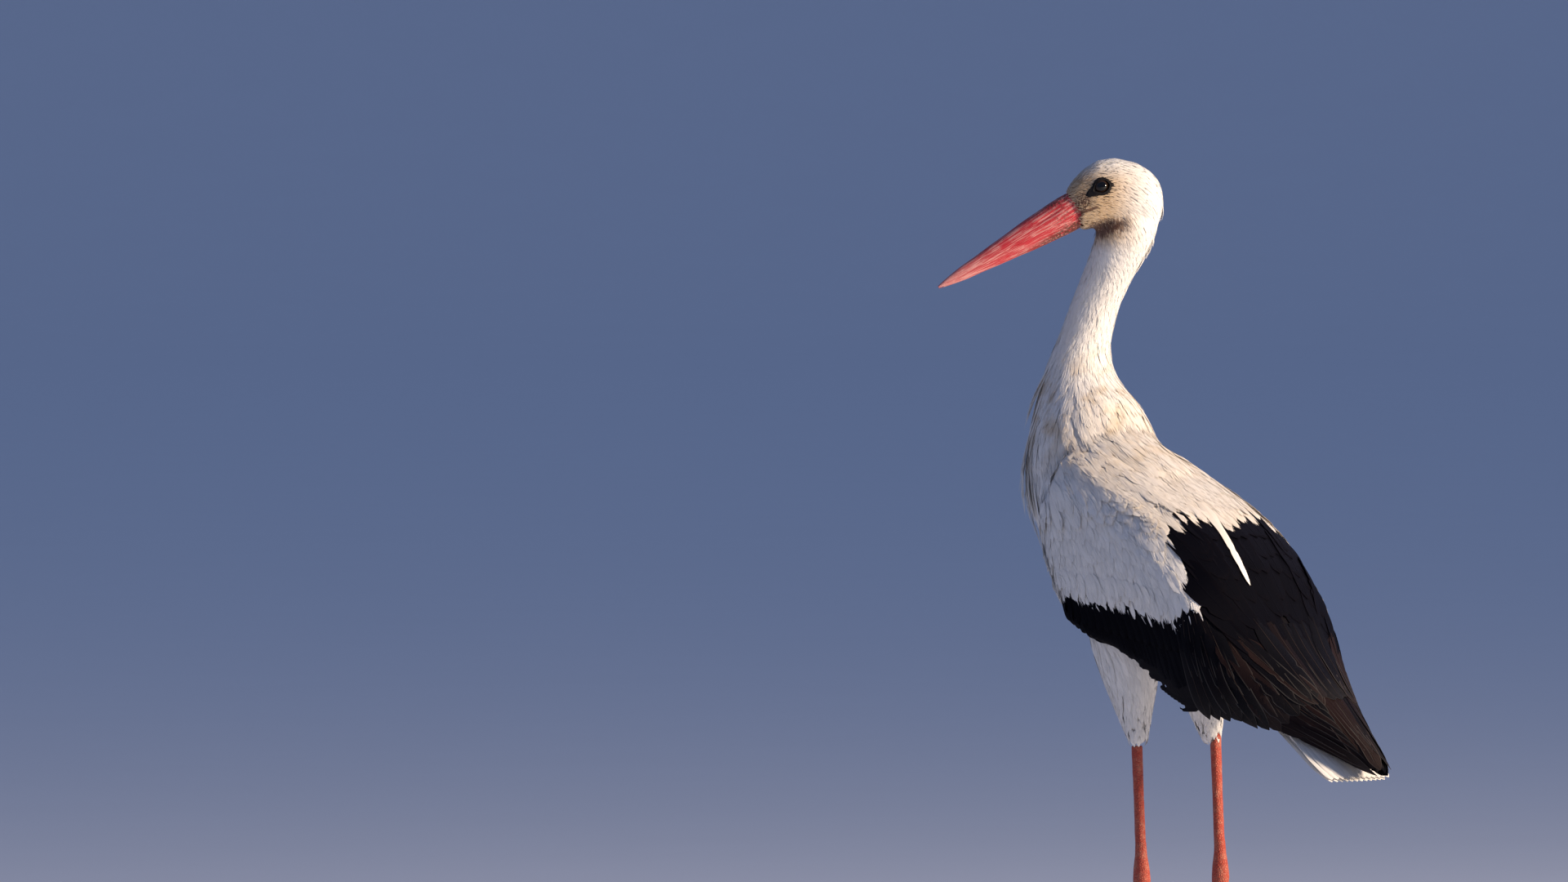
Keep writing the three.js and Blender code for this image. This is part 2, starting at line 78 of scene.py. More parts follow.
# how far forward of the middle of the skull the eyes sit, and how far over it, in millimetres
EYE_FORWARD, EYE_UP = 12.7, 6.0
EYE_LEFT = middle("eye_left")
EYE_RIGHT = middle("eye_right")
HEAD_LEFT = (EYE_LEFT - EYE_RIGHT).normalized()
HEAD_FORWARD = Vector((HEAD_LEFT.y, -HEAD_LEFT.x, 0.0))
SKULL = (EYE_LEFT + EYE_RIGHT) / 2 - HEAD_FORWARD * EYE_FORWARD * MM - UP * EYE_UP * MM
BILL_PITCH = math.radians(29.7)
BILL_AXIS = HEAD_FORWARD * math.cos(BILL_PITCH) - UP * math.sin(BILL_PITCH)
BILL_UP = HEAD_FORWARD * math.sin(BILL_PITCH) + UP * math.cos(BILL_PITCH)
BILL_ROOT = (52.5, -25.4)  # forward and up from the middle of the skull, in millimetres

# the line from the nape through the neck and body to the tail, as y and z from the feet, in millimetres
SPINE = (
    (-74, 942), (-87, 918), (-104, 894), (-121, 866), (-133, 841), (-141, 822), (-147, 796),
    (-147, 768), (-140, 738), (-128, 706), (-108, 672), (-72, 632), (-18, 583), (37, 545), (87, 516),
    (132, 490), (174, 463), (218, 436), (307, 361),
)


def at(x, y, z):
    """A place given in millimetres from the feet: to the left, to the back and up."""
    return FEET + Vector((x, y, z)) * MM


def in_head(forward, up, side=0.0):
    """A place given in millimetres from the middle of the skull."""
    return SKULL + (HEAD_FORWARD * forward + UP * up + HEAD_LEFT * side) * MM


def head_coordinates(points):
    """Forward, up and side of each point from the middle of the skull, in millimetres."""
    away = (np.asarray(points) - np.array(SKULL)) / MM
    return away @ np.array(HEAD_FORWARD), away @ np.array(UP), away @ np.array(HEAD_LEFT)


def body_coordinates(points):
    """Left, back and up of each point from the feet, in millimetres."""
    away = (np.asarray(points) - np.array(FEET)) / MM
    return away[:, 0], away[:, 1], away[:, 2]


def bill_edge(up):
    """How far forward the feathers reach at each height of the face, in millimetres."""
    heights = (-44, -40, -27.5, -22, -19.5, -13.3, -6, 10)
    reach = (36, 36.6, 39, 33, 41, 51.6, 54.3, 54.3)
    return np.interp(up, heights, reach)


def rows_at(rows, t):
    """Smoothly joined rows of numbers, read at t from 0 to 1."""
    table = np.array(rows, float)
    u = np.clip(t, 0, 1) * (len(table) - 1)
    i = np.minimum(u.astype(int), len(table) - 2)
    f = (u - i)[:, None]
    before = table[np.maximum(i - 1, 0)]
    here, ahead = table[i], table[i + 1]
    after = table[np.minimum(i + 2, len(table) - 1)]
    return 0.5 * (
        2 * here
        + (ahead - before) * f
        + (2 * before - 5 * here + 4 * ahead - after) * f**2
        + (3 * here - before - 3 * ahead + after) * f**3
    )


def ease(low, high, value):
    """0 at low, 1 at high, and smooth between."""
    t = np.clip((value - low) / (high - low), 0, 1)
    return t * t * (3 - 2 * t)


# ---- sizes and colours ----
def length_property(name, default, description):
    return FloatProperty(
        name=name, description=description, default=default, min=0.0, unit="LENGTH", precision=4
    )


def angle_property(name, degrees, description):
    return FloatProperty(
        name=name, description=description, default=math.radians(degrees), subtype="ANGLE"
    )


def colour_property(name, default, description):
    return FloatVectorProperty(
        name=name, description=description, default=default, size=3, subtype="COLOR", min=0.0, max=1.0
    )


class StorkPlumage(bpy.types.PropertyGroup):
    white: colour_property("White", (0.87, 0.845, 0.80), "Clean body feathers")
    # cream: a real stain on the neck, and on the mantle partly a cream tone and partly painted shade
    cream: colour_property("Cream", (0.66, 0.53, 0.37), "Stain on the neck and mantle")
    beige: colour_property("Beige", (0.57, 0.39, 0.21), "Short feathers of the face")
    # throat: the dark lores and gape line, and the throat band of dark skin and painted shadow under the jaw
    throat: colour_property("Throat", (0.13, 0.055, 0.03), "Dark bare band under the cheek")
    black: colour_property("Black", (0.0022, 0.0022, 0.0042), "Scapulars and flight feathers")
    brown: colour_property("Brown", (0.014, 0.0075, 0.0075), "Worn tertials and primaries")
    silver: colour_property("Silver", (0.15, 0.14, 0.13), "Outer edges of the primaries")
    seed: IntProperty(name="Seed", description="Chooses how the feathers fall", default=7, min=0)


class StorkHorn(bpy.types.PropertyGroup):
    red: colour_property("Red", (0.50, 0.026, 0.036), "Bill")
    pale: colour_property("Pale streaks", (0.70, 0.31, 0.28), "Worn streaks and tip of the bill")
    soil: colour_property("Soil", (0.045, 0.022, 0.012), "Dried earth under the bill")
    leg: colour_property("Leg", (0.44, 0.060, 0.030), "Scaled skin of the legs")
    claw: colour_property("Claw", (0.035, 0.025, 0.02), "Claws")


class StorkEye(bpy.types.PropertyGroup):
    radius: length_property("Radius", 9.2 * MM, "Radius of the eyeball")
    iris: colour_property("Iris", (0.018, 0.009, 0.006), "Dark brown ring round the pupil")
    lid: colour_property("Lid", (0.006, 0.005, 0.005), "Bare skin round the eye")


class StorkStage(bpy.types.PropertyGroup):
    azimuth: angle_property("Azimuth", 140, "Way the camera looks")
    elevation: angle_property("Elevation", 1.5, "Camera's rise")
    lens: FloatProperty(name="Lens", description="Focal length in millimetres", default=300.0, min=50.0)
    width: length_property("Width seen", 1.70, "Width of the picture at the bird")
    floor: colour_property("Floor", (0.76, 0.80, 0.86), "Floor")


def plumage():
    return bpy.context.scene.stork_plumage


def horn():
    return bpy.context.scene.stork_horn


def eye():
    return bpy.context.scene.stork_eye


# ---- finishes ----
class Wire:
    """A socket that takes part in sums, so that a finish reads as an expression."""

    def __init__(self, recipe, socket):
        self.recipe = recipe
        self.socket = socket

    def _sum(self, operation, *others):
        return self.recipe.math(operation, self, *others)

    def __add__(self, other):
        return self._sum("ADD", other)

    __radd__ = __add__

    def __sub__(self, other):
        return self._sum("SUBTRACT", other)

    def __rsub__(self, other):
        return self.recipe.math("SUBTRACT", other, self)

    def __mul__(self, other):
        return self._sum("MULTIPLY", other)

    __rmul__ = __mul__

    def __truediv__(self, other):
        return self._sum("DIVIDE", other)

    def __pow__(self, other):
        return self._sum("POWER", other)

    def __abs__(self):
        return self._sum("ABSOLUTE")

    def __neg__(self):
        return self._sum("MULTIPLY", -1.0)

    def least(self, other):
        return self._sum("MINIMUM", other)

    def ease(self, low, high):
        """0 below low, 1 above high, and smooth between."""
        settings = {"interpolation_type": "SMOOTHSTEP"}
        sign = 1.0 if high > low else -1.0
        value = self if sign > 0 else -self
        made = self.recipe.node(
            "ShaderNodeMapRange", settings, {"Value": value, "From Min": low * sign, "From Max": high * sign}
        )
        return Wire(self.recipe, made.outputs["Result"])


class Recipe:
    """The node tree of one finish."""

    def __init__(self, name):
        self.material = bpy.data.materials.new(name)
        self.material.use_nodes = True
        self.tree = self.material.node_tree
        self.tree.nodes.clear()

    def node(self, kind, settings=None, values=None):
        made = self.tree.nodes.new(kind)
        for name, value in (settings or {}).items():
            if name == "stops":
                self._stops(made.color_ramp, value)
            else:
                setattr(made, name, value)
        for name, value in (values or {}).items():
            self.feed(made.inputs[name], value)
        return made

    def _stops(self, ramp, stops):
        while len(ramp.elements) < len(stops):
            ramp.elements.new(0.5)
        for element, (position, colour) in zip(ramp.elements, stops):
            element.position = position
            element.color = (*colour, 1.0)

    def feed(self, socket, value):
        if isinstance(value, Wire):
            self.tree.links.new(value.socket, socket)
        elif socket.type == "RGBA" and len(value) == 3:
            socket.default_value = (*value, 1.0)
        else:
            socket.default_value = value

    def math(self, operation, *values):
        made = self.node("ShaderNodeMath", {"operation": operation}, dict(enumerate(values)))
        return Wire(self, made.outputs[0])

    def mix(self, factor, first, second):
        """A colour between two colours."""
        made = self.node("ShaderNodeMix", {"data_type": "RGBA"}, {0: factor, 6: first, 7: second})
        return Wire(self, made.outputs[2])

    def shade(self, colour, value):
        """A colour multiplied by a number."""
        settings = {"data_type": "RGBA", "blend_type": "MULTIPLY"}
        grey = self.node("ShaderNodeCombineColor", None, {"Red": value, "Green": value, "Blue": value})
        made = self.node("ShaderNodeMix", settings, {0: 1.0, 6: colour, 7: Wire(self, grey.outputs[0])})
        return Wire(self, made.outputs[2])

    def place(self):
        made = self.node("ShaderNodeTexCoord")
        return Wire(self, made.outputs["Object"])

    def dot(self, vector, axis, origin=(0.0, 0.0, 0.0)):
        """How far a place lies from an origin along an axis."""
        away = self.node("ShaderNodeVectorMath", {"operation": "SUBTRACT"}, {0: vector, 1: tuple(origin)})
        values = {0: Wire(self, away.outputs[0]), 1: tuple(axis)}
        made = self.node("ShaderNodeVectorMath", {"operation": "DOT_PRODUCT"}, values)
        return Wire(self, made.outputs["Value"])

    def map(self, name):
        """The two coordinates of a UV map."""
        made = self.node("ShaderNodeUVMap", {"uv_map": name})
        split = self.node("ShaderNodeSeparateXYZ", None, {0: Wire(self, made.outputs[0])})
        return Wire(self, split.outputs[0]), Wire(self, split.outputs[1])

    def attribute(self, name):
        made = self.node("ShaderNodeAttribute", {"attribute_name": name})
        return Wire(self, made.outputs["Fac"])

    def vector(self, x, y, z):
        made = self.node("ShaderNodeCombineXYZ", None, {0: x, 1: y, 2: z})
        return Wire(self, made.outputs[0])

    def noise(self, vector, scale, detail, roughness=0.55):
        values = {"Vector": vector, "Scale": scale, "Detail": detail, "Roughness": roughness}
        made = self.node("ShaderNodeTexNoise", None, values)
        return Wire(self, made.outputs["Fac"])

    def cells(self, vector, scale):
        """How far a place is from the edge of its cell."""
        settings = {"feature": "DISTANCE_TO_EDGE"}
        made = self.node("ShaderNodeTexVoronoi", settings, {"Vector": vector, "Scale": scale})
        return Wire(self, made.outputs["Distance"])

    def bump(self, height, distance, strength):
        values = {"Height": height, "Distance": distance, "Strength": strength}
        made = self.node("ShaderNodeBump", None, values)
        return Wire(self, made.outputs["Normal"])

    def finish(self, **values):
        """Joins the values to a principled shader and returns the material."""
        named = {
            name.replace("_", " ").title().replace("Ior", "IOR"): value for name, value in values.items()
        }
        shader = self.node("ShaderNodeBsdfPrincipled", None, named)
        out = self.node("ShaderNodeOutputMaterial")
        self.tree.links.new(shader.outputs[0], out.inputs[0])
        return self.material


def markings(r, place):
    """The white coat's colours: clean, beige face, dark lores, stained neck, a throat band of dark skin and
    painted shadow, and a mantle of cream tone and painted shade.
    """
    colours = plumage()
    forward = r.dot(place, HEAD_FORWARD, SKULL) / MM
    side = abs(r.dot(place, HEAD_LEFT, SKULL)) / MM
    up = r.dot(place, UP, SKULL) / MM
    back = r.dot(place, BACKWARD, FEET) / MM
    height = r.dot(place, UP, FEET) / MM
    fine = r.noise(place, 420.0, 4.0, 0.7)
    broad = r.noise(place, 34.0, 3.0, 0.6)

    stain = (height.ease(660, 730) * height.ease(850, 760) * broad.ease(0.42, 0.68)).least(1.0)
    colour = r.mix(stain * 0.75, colours.white, colours.cream)
    aside = abs(r.dot(place, LEFTWARD, FEET)) / MM
    # painted shade: the mantle is tinted cream, partly its own tone and partly painted darker than the lit
    # nape as shade
    mantle = height.ease(585, 630) * height.ease(800, 730) * back.ease(-130, -70) * aside.ease(98, 80)
    colour = r.mix(mantle * (0.10 + broad * 0.55), colour, colours.cream)
    on_head = up.ease(-70, -45)
    face = on_head * forward.ease(-40, 10) * up.ease(34, 8)
    colour = r.mix((face * (0.62 + fine * 0.6)).least(1.0), colour, colours.beige)

    lores = (((forward - 33) / 9) ** 2 + ((up + 11) / 11) ** 2).ease(1.5, 0.3) * on_head
    streaks = r.noise(r.vector(forward * 0.9, up * 0.25 + forward * 0.2, side), 0.9, 2.0).ease(0.42, 0.52)
    colour = r.mix(lores * streaks * 0.95, colour, colours.throat)
    gape = (up + 22 - (33 - forward) * 0.36 + (fine - 0.5) * 3)
    line = abs(gape).ease(2.6, 0.8) * forward.ease(14, 20) * forward.ease(40, 36) * side.ease(2, 6) * on_head
    colour = r.mix(line * 0.92, colour, colours.throat)

    # the dark band under the jaw is partly dark skin and partly painted shadow beneath the jaw, broken into
    # strands
    strands = r.noise(r.vector(forward * 0.55, up * 0.07, side * 0.55), 1.0, 3.0, 0.6)
    band = (up + 38 + forward * 0.24 + (strands - 0.5) * 30) / (7.5 + forward.ease(-12, 16) * 3)
    throat = abs(band).ease(1.25, 0.4) * forward.ease(-28, -2) * forward.ease(32, 24) * on_head
    return r.mix(throat * strands.ease(0.24, 0.44), colour, colours.throat)


@lru_cache(None)
def skin_finish():
    r = Recipe("stork_skin")
    place = r.place()
    colour = markings(r, place)
    pores = r.cells(place, 900.0)
    return r.finish(
        base_color=r.shade(colour, 0.9),
        roughness=0.8,
        normal=r.bump(pores, 0.0004, 0.5),
    )


def vane_marks(r, shaft_width, fine, slant, number, seed, detail=3.0):
    """How far along a feather a place is and how far off its shaft, its tint, its barbs and its shaft."""
    across, along = r.map("vane")
    tint = r.attribute("tint")
    off = abs(across - 0.5)
    barbs = r.noise(r.vector(off * fine, (along - off * slant) * number, tint * seed), 1.0, detail)
    return along, off, tint, barbs, off.ease(shaft_width, 0.0)


@lru_cache(None)
def white_finish():
    """White contour feathers: fine barbs, roots painted darker as shade and a scatter of creamier feathers.
    """
    r = Recipe("white_plumage")
    place = r.place()
    along, _, tint, barbs, shaft = vane_marks(r, 0.05, 7, 0.5, 46, 31)
    colour = markings(r, place)
    # painted shade: each feather is a tenth darker towards its root, where it lies under its neighbours
    value = (0.90 + along.ease(0.0, 0.55) * 0.1) * (0.91 + tint * 0.09) * (0.95 + barbs * 0.09)
    return r.finish(
        base_color=r.shade(colour, value * (1.0 - shaft * 0.08)),
        roughness=(0.62 + barbs * 0.2),
        sheen_weight=0.3,
        sheen_roughness=0.5,
        normal=r.bump(barbs + shaft * 0.3, 0.0004, 0.25),
    )


@lru_cache(None)
def black_finish():
    """Black feathers with a faint violet gloss, matt at their worn rims."""
    colours = plumage()
    r = Recipe("black_plumage")
    along, off, tint, barbs, shaft = vane_marks(r, 0.035, 5, 0.32, 95, 17)
    worn = (off.ease(0.38, 0.5) + along.ease(0.9, 1.0)).least(1.0)
    colour = r.mix(worn * 0.08 * (0.4 + barbs), colours.black, colours.brown)
    return r.finish(
        base_color=r.shade(colour, 0.92 + tint * 0.16),
        roughness=0.52 + barbs * 0.14 + worn * 0.1,
        specular_ior_level=0.03,
        sheen_weight=0.006,
        sheen_roughness=0.4,
        sheen_tint=(0.50, 0.32, 0.75, 1.0),
        normal=r.bump(barbs * 0.5 + shaft, 0.0005, 0.45),
    )


@lru_cache(None)
def brown_finish():
    """Worn brown-black feathers, greyer along their outer edges."""
    colours = plumage()
    r = Recipe("brown_plumage")
    along, off, tint, barbs, shaft = vane_marks(r, 0.03, 5, 0.3, 110, 23, 4.0)
    colour = r.mix(tint.ease(0.2, 0.9), colours.black, colours.brown)
    colour = r.mix(along.ease(0.6, 1.0) * 0.12 * barbs, colour, colours.silver)
    colour = r.mix(off.ease(0.43, 0.5) * 0.30 * along.ease(0.3, 0.6), colour, colours.silver)
    colour = r.mix(shaft * 0.55, colour, (0.05, 0.035, 0.028))
    return r.finish(
        base_color=r.shade(colour, 0.75 + barbs * 0.5),
        roughness=0.55 + barbs * 0.2,
        specular_ior_level=0.06,
        normal=r.bump(barbs * 0.5 + shaft, 0.0007, 0.6),
    )


@lru_cache(None)
def bill_finish():
    """Red horn, streaked and scuffed along its length, paler to the tip, with earth dried on underneath."""
    colours = horn()
    r = Recipe("bill_horn")
    place = r.place()
    base = in_head(*BILL_ROOT)
    along = r.dot(place, BILL_AXIS, base) / (BILL_LENGTH * MM)
    rise = r.dot(place, BILL_UP, base) / MM
    side = r.dot(place, HEAD_LEFT, base) / MM
    draw = 1 + along * 1.4
    fine = r.vector(rise * draw, side * draw, along * 11)
    streak = r.noise(fine, 0.42, 4.0, 0.62)
    hair = r.noise(fine, 1.5, 3.0, 0.7)
    blotch = r.noise(place, 45.0, 3.0)
    scuffed = streak.ease(0.46, 0.60) * 0.85 + hair.ease(0.54, 0.68) * 0.55
    pale = (scuffed + along.ease(0.5, 1.0) * 0.6).least(1.0)
    colour = r.mix(pale, colours.red, colours.pale)
    colour = r.mix(blotch.ease(0.52, 0.64) * 0.55, colour, (0.56, 0.02, 0.035))
    grime = r.noise(place, 420.0, 4.0, 0.7)
    under = rise.ease(-8, -15) * along.ease(0.55, 0.1) * grime.ease(0.38, 0.50)
    culmen = rise.ease(11, 15) * along.ease(0.4, 0.05) * grime.ease(0.42, 0.56) * 0.6
    root = along.ease(0.16, 0.0) * grime.ease(0.50, 0.62) * 0.55 + culmen
    soil = (under + root + grime.ease(0.66, 0.74) * 0.35).least(1.0)
    colour = r.mix(soil * 0.85, colour, colours.soil)
    relief = streak * 0.5 + hair * 0.35 + soil * 0.5
    return r.finish(
        base_color=colour,
        roughness=0.34 + streak * 0.18 + soil * 0.35,
        subsurface_weight=0.06,
        subsurface_radius=(0.004, 0.0015, 0.001),
        subsurface_scale=0.5,
        normal=r.bump(relief, 0.0007, 0.7),
    )


@lru_cache(None)
def leg_finish():
    """Red leg skin in rows of small horny scales."""
    colours = horn()
    r = Recipe("leg_skin")
    place = r.place()
    scale = r.cells(place, 380.0)
    small = r.cells(place, 900.0)
    wear = r.noise(place, 120.0, 4.0, 0.65)
    colour = r.mix(wear.ease(0.42, 0.7) * 0.6, colours.leg, (0.55, 0.22, 0.14))
    colour = r.mix(scale.ease(0.10, 0.0) * 0.35, colour, (0.16, 0.04, 0.025))
    return r.finish(
        base_color=colour,
        roughness=0.45 + wear * 0.25,
        normal=r.bump(scale.ease(0.0, 0.25) + small * 0.3, 0.0007, 0.7),
    )


@lru_cache(None)
def claw_finish():
    r = Recipe("claw_horn")
    place = r.place()
    ridges = r.noise(place, 260.0, 3.0)
    return r.finish(
        base_color=r.mix(ridges.ease(0.35, 0.75), horn().claw, (0.10, 0.07, 0.055)),
        roughness=0.3 + ridges * 0.25,
        normal=r.bump(ridges, 0.0004, 0.5),
    )


@lru_cache(None)
def eye_finish():
    """A wet dark eye: brown iris, black pupil."""
    r = Recipe("eye")
    place = r.place()
    side = abs(r.dot(place, HEAD_LEFT, SKULL)) / MM
    forward = r.dot(place, HEAD_FORWARD, in_head(EYE_FORWARD, EYE_UP)) / MM
    up = r.dot(place, UP, in_head(EYE_FORWARD, EYE_UP)) / MM
    out = (forward**2 + up**2) ** 0.5
    flecks = r.noise(place, 1500.0, 3.0)
    iris = r.mix(flecks, eye().iris, (0.035, 0.018, 0.010))
    ring = out.ease(4.7, 5.0) * out.ease(7.7, 7.2) * side.ease(10, 14)
    return r.finish(
        base_color=r.mix(ring, (0.002, 0.002, 0.002), iris),
        roughness=0.05,
        ior=1.45,
    )


@lru_cache(None)
def lid_finish():
    r = Recipe("eyelid")
    place = r.place()
    folds = r.noise(place, 900.0, 4.0, 0.7)
    return r.finish(
        base_color=r.mix(folds, eye().lid, (0.014, 0.010, 0.010)),
        roughness=0.5 + folds * 0.3,
        specular_ior_level=0.25,
        normal=r.bump(folds, 0.0005, 0.8),
    )


@lru_cache(None)
def wing_bed_finish():
    colours = plumage()
    r = Recipe("feather_bed_black")
    barbs = r.noise(r.place(), 260.0, 4.0, 0.7)
    return r.finish(
        base_color=r.mix(barbs * 0.3, colours.black, colours.brown),
        roughness=0.7,
        specular_ior_level=0.1,
        normal=r.bump(barbs, 0.0006, 0.7),
    )


@lru_cache(None)
def tail_bed_finish():
    colours = plumage()
    r = Recipe("feather_bed_white")
    barbs = r.noise(r.place(), 260.0, 4.0, 0.7)
    return r.finish(
        base_color=r.mix(barbs * 0.4, colours.white, colours.cream),
        roughness=0.75,
        normal=r.bump(barbs, 0.0006, 0.7),
    )


@lru_cache(None)
def floor_finish():
    r = Recipe("studio_floor")
    grain = r.noise(r.place(), 3.0, 2.0)
    colour = tuple(bpy.context.scene.stork_stage.floor)
    return r.finish(base_color=r.shade(colour, 0.99 + grain * 0.02), roughness=0.9)


# ---- meshes ----
def gather(nodes):
    """The solids of some nodes as one list of points and one of faces."""
    points, faces = [], []
    for name in nodes:
        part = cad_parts[name]
        start = len(points)
        points += [part.matrix_world @ vertex.co for vertex in part.data.vertices]
        faces += [[start + i for i in polygon.vertices] for polygon in part.data.polygons]
    return points, faces


JOINING = 0.4 * MM


def remeshed(nodes, voxel, rounds, inset=0.0, added=()):
    """One smooth closed mesh round some nodes and added (points, faces), drawn in by an inset.

    The solids swell a little first, so that pieces that only touch join up."""
    points, faces = gather(nodes)
    for more, shapes in added:
        faces += [[len(points) + i for i in face] for face in shapes]
        points += more
    mesh = bpy.data.meshes.new("form")
    mesh.from_pydata(points, [], faces)
    shape = bpy.data.objects.new("form", mesh)
    bpy.context.collection.objects.link(shape)
    weld = shape.modifiers.new("weld", "WELD")
    weld.merge_threshold = 0.02 * MM
    for offset in (JOINING, -inset) if inset else (JOINING,):
        swell = shape.modifiers.new("swell", "DISPLACE")
        swell.mid_level = 0.0
        swell.strength = offset
        voxels = shape.modifiers.new("voxels", "REMESH")
        voxels.mode = "VOXEL"
        voxels.voxel_size = voxel
        relax = shape.modifiers.new("relax", "SMOOTH")
        relax.factor = 0.5
        relax.iterations = rounds
    made = bpy.data.meshes.new_from_object(shape.evaluated_get(bpy.context.evaluated_depsgraph_get()))
    bpy.data.objects.remove(shape)
    bpy.data.meshes.remove(mesh)
    return made


def points_of(mesh):
    flat = np.empty(len(mesh.vertices) * 3)
    mesh.vertices.foreach_get("co", flat)
    return flat.reshape(-1, 3)


def normals_of(mesh):
    flat = np.empty(len(mesh.vertices) * 3)
    mesh.vertex_normals.foreach_get("vector", flat)
    return flat.reshape(-1, 3)


def unit(vectors):
    return vectors / np.maximum(np.linalg.norm(vectors, axis=-1, keepdims=True), 1e-9)


def place_piece(name, mesh, *materials):
    for material in materials:
        mesh.materials.append(material)
    piece = bpy.data.objects.new(name, mesh)
    bpy.context.collection.objects.link(piece)
    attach(piece, "root")
    return piece


def shell(name, grid, capped=False):
    """A mesh over a grid of points [row, column], with the last column joined to the first."""
    rows, columns = grid.shape[:2]
    index = np.arange(rows * columns).reshape(rows, columns)
    across = np.concatenate([index, index[:, :1]], 1)
    faces = np.stack([across[:-1, :-1], across[:-1, 1:], across[1:, 1:], across[1:, :-1]], -1)
    faces = [list(map(int, face)) for face in faces.reshape(-1, 4)]
    if capped:
        faces += [list(map(int, index[0][::-1])), list(map(int, index[-1]))]
    mesh = bpy.data.meshes.new(name)
    mesh.from_pydata([tuple(point) for point in grid.reshape(-1, 3)], [], faces)
    mesh.shade_smooth()
    return mesh


# the core of the body, from the breast to the tail: distances back from the feet and heights, in millimetres
CORE_Y = (-140, -60, 0, 100, 200, 300, 345)
CORE_Z = (640, 615, 590, 520, 452, 395, 362)
OUTSIDE = 0.25  # far enough from the core to be outside the bird


class Form:
    """A closed smooth form that feathers lie on."""

    def __init__(self, mesh):
        self.points = points_of(mesh)
        self.normals = normals_of(mesh)
        self.faces = np.array([tuple(polygon.vertices) for polygon in mesh.polygons])
        for _ in range(6):
            self.face_normals = unit(self.normals[self.faces].mean(1))
            self.normals = self.spread(self.face_normals)
        self.tree = BVHTree.FromPolygons(self.points.tolist(), self.faces.tolist())

    def spread(self, values):
        """The mean at each point of the values of the faces round it, made a unit long."""
        corners, count = self.faces.reshape(-1), self.faces.shape[1]
        sums = [np.bincount(corners, np.repeat(values[:, k], count), len(self.points)) for k in range(3)]
        return unit(np.stack(sums, -1))

    def under(self, points):
        """The nearest place and normal for each point."""
        found = [self.tree.find_nearest(Vector(point)) for point in points]
        places = np.array([tuple(hit[0]) for hit in found])
        return places, self.face_normals[[hit[2] for hit in found]]

    def over(self, points):
        """The outermost place and normal for each point, seen from the body's core."""
        back = (points[:, 1] - FEET.y) / MM
        height = np.interp(back, CORE_Y, CORE_Z) * MM
        core = np.stack([np.full(len(points), FEET.x), points[:, 1], height], 1)
        out = unit(points - core)
        places, normals, missed = points.copy(), out.copy(), np.zeros(len(points), bool)
        for i, (start, way) in enumerate(zip(core + out * OUTSIDE, -out)):
            hit = self.tree.ray_cast(Vector(start), Vector(way), OUTSIDE)
            if hit[0] is None:
                missed[i] = True
            else:
                places[i], normals[i] = hit[0], self.face_normals[hit[2]]
        return places, normals, missed


HOLD = 0.55  # how much of its heading a feather keeps at each step


def march(form, roots, headings, lengths, steps):
    """Paths that run over the form from their roots, turning with the lie of the plumage."""
    place, normal = form.under(roots)
    way = unit(headings - normal * (headings * normal).sum(1, keepdims=True))
    paths, normals = [place], [normal]
    for _ in range(steps):
        place, normal = form.under(place + way * (lengths / steps)[:, None])
        way = unit(way * HOLD + lie(place) * (1 - HOLD))
        way = unit(way - normal * (way * normal).sum(1, keepdims=True))
        paths.append(place)
        normals.append(normal)
    return np.stack(paths, 1), np.stack(normals, 1)


def drape(form, starts, ends, rows):
    """Paths over the outside of the form from start to end."""
    paths, normals = [], []
    last = None
    for share in np.linspace(0, 1, rows):
        aim = starts * (1 - share) + ends * share
        place, normal, missed = form.over(aim)
        if last is not None:
            place[missed] = last[1][missed] + (aim - last[0])[missed]
            normal[missed] = last[2][missed]
        last = (aim, place, normal)
        paths.append(place)
        normals.append(normal)
    paths, normals = np.stack(paths, 1), np.stack(normals, 1)
    for _ in range(4):
        paths[:, 1:-1] = paths[:, 1:-1] * 0.5 + (paths[:, :-2] + paths[:, 2:]) * 0.25
        normals[:, 1:-1] = unit(normals[:, 1:-1] * 0.5 + (normals[:, :-2] + normals[:, 2:]) * 0.25)
    return paths, normals


# ---- the lie of the plumage ----
# on the head: forward, up and side from the middle of the skull, then the way forward, up and aside
HEAD_LIE = (
    ((50, -5, 0), (-1.0, 0.3, 0.0)),
    ((30, 22, 0), (-0.9, 0.45, 0.0)),
    ((0, 36, 0), (-1.0, 0.0, 0.0)),
    ((-30, 26, 0), (-0.75, -0.65, 0.0)),
    ((-50, 0, 0), (-0.15, -1.0, 0.0)),
    ((44, -12, 13), (-0.95, 0.0, 0.3)),
    ((15, 12, 25), (-1.0, 0.0, 0.0)),
    ((20, -12, 24), (-1.0, -0.15, 0.0)),
    ((-20, -5, 24), (-0.8, -0.6, 0.0)),
    ((28, -32, 14), (-1.0, -0.05, 0.0)),
    ((8, -28, 20), (-0.95, -0.3, 0.0)),
    ((-8, -40, 16), (-0.55, -0.83, 0.0)),
    ((-25, -45, 18), (-0.25, -0.97, 0.0)),
)
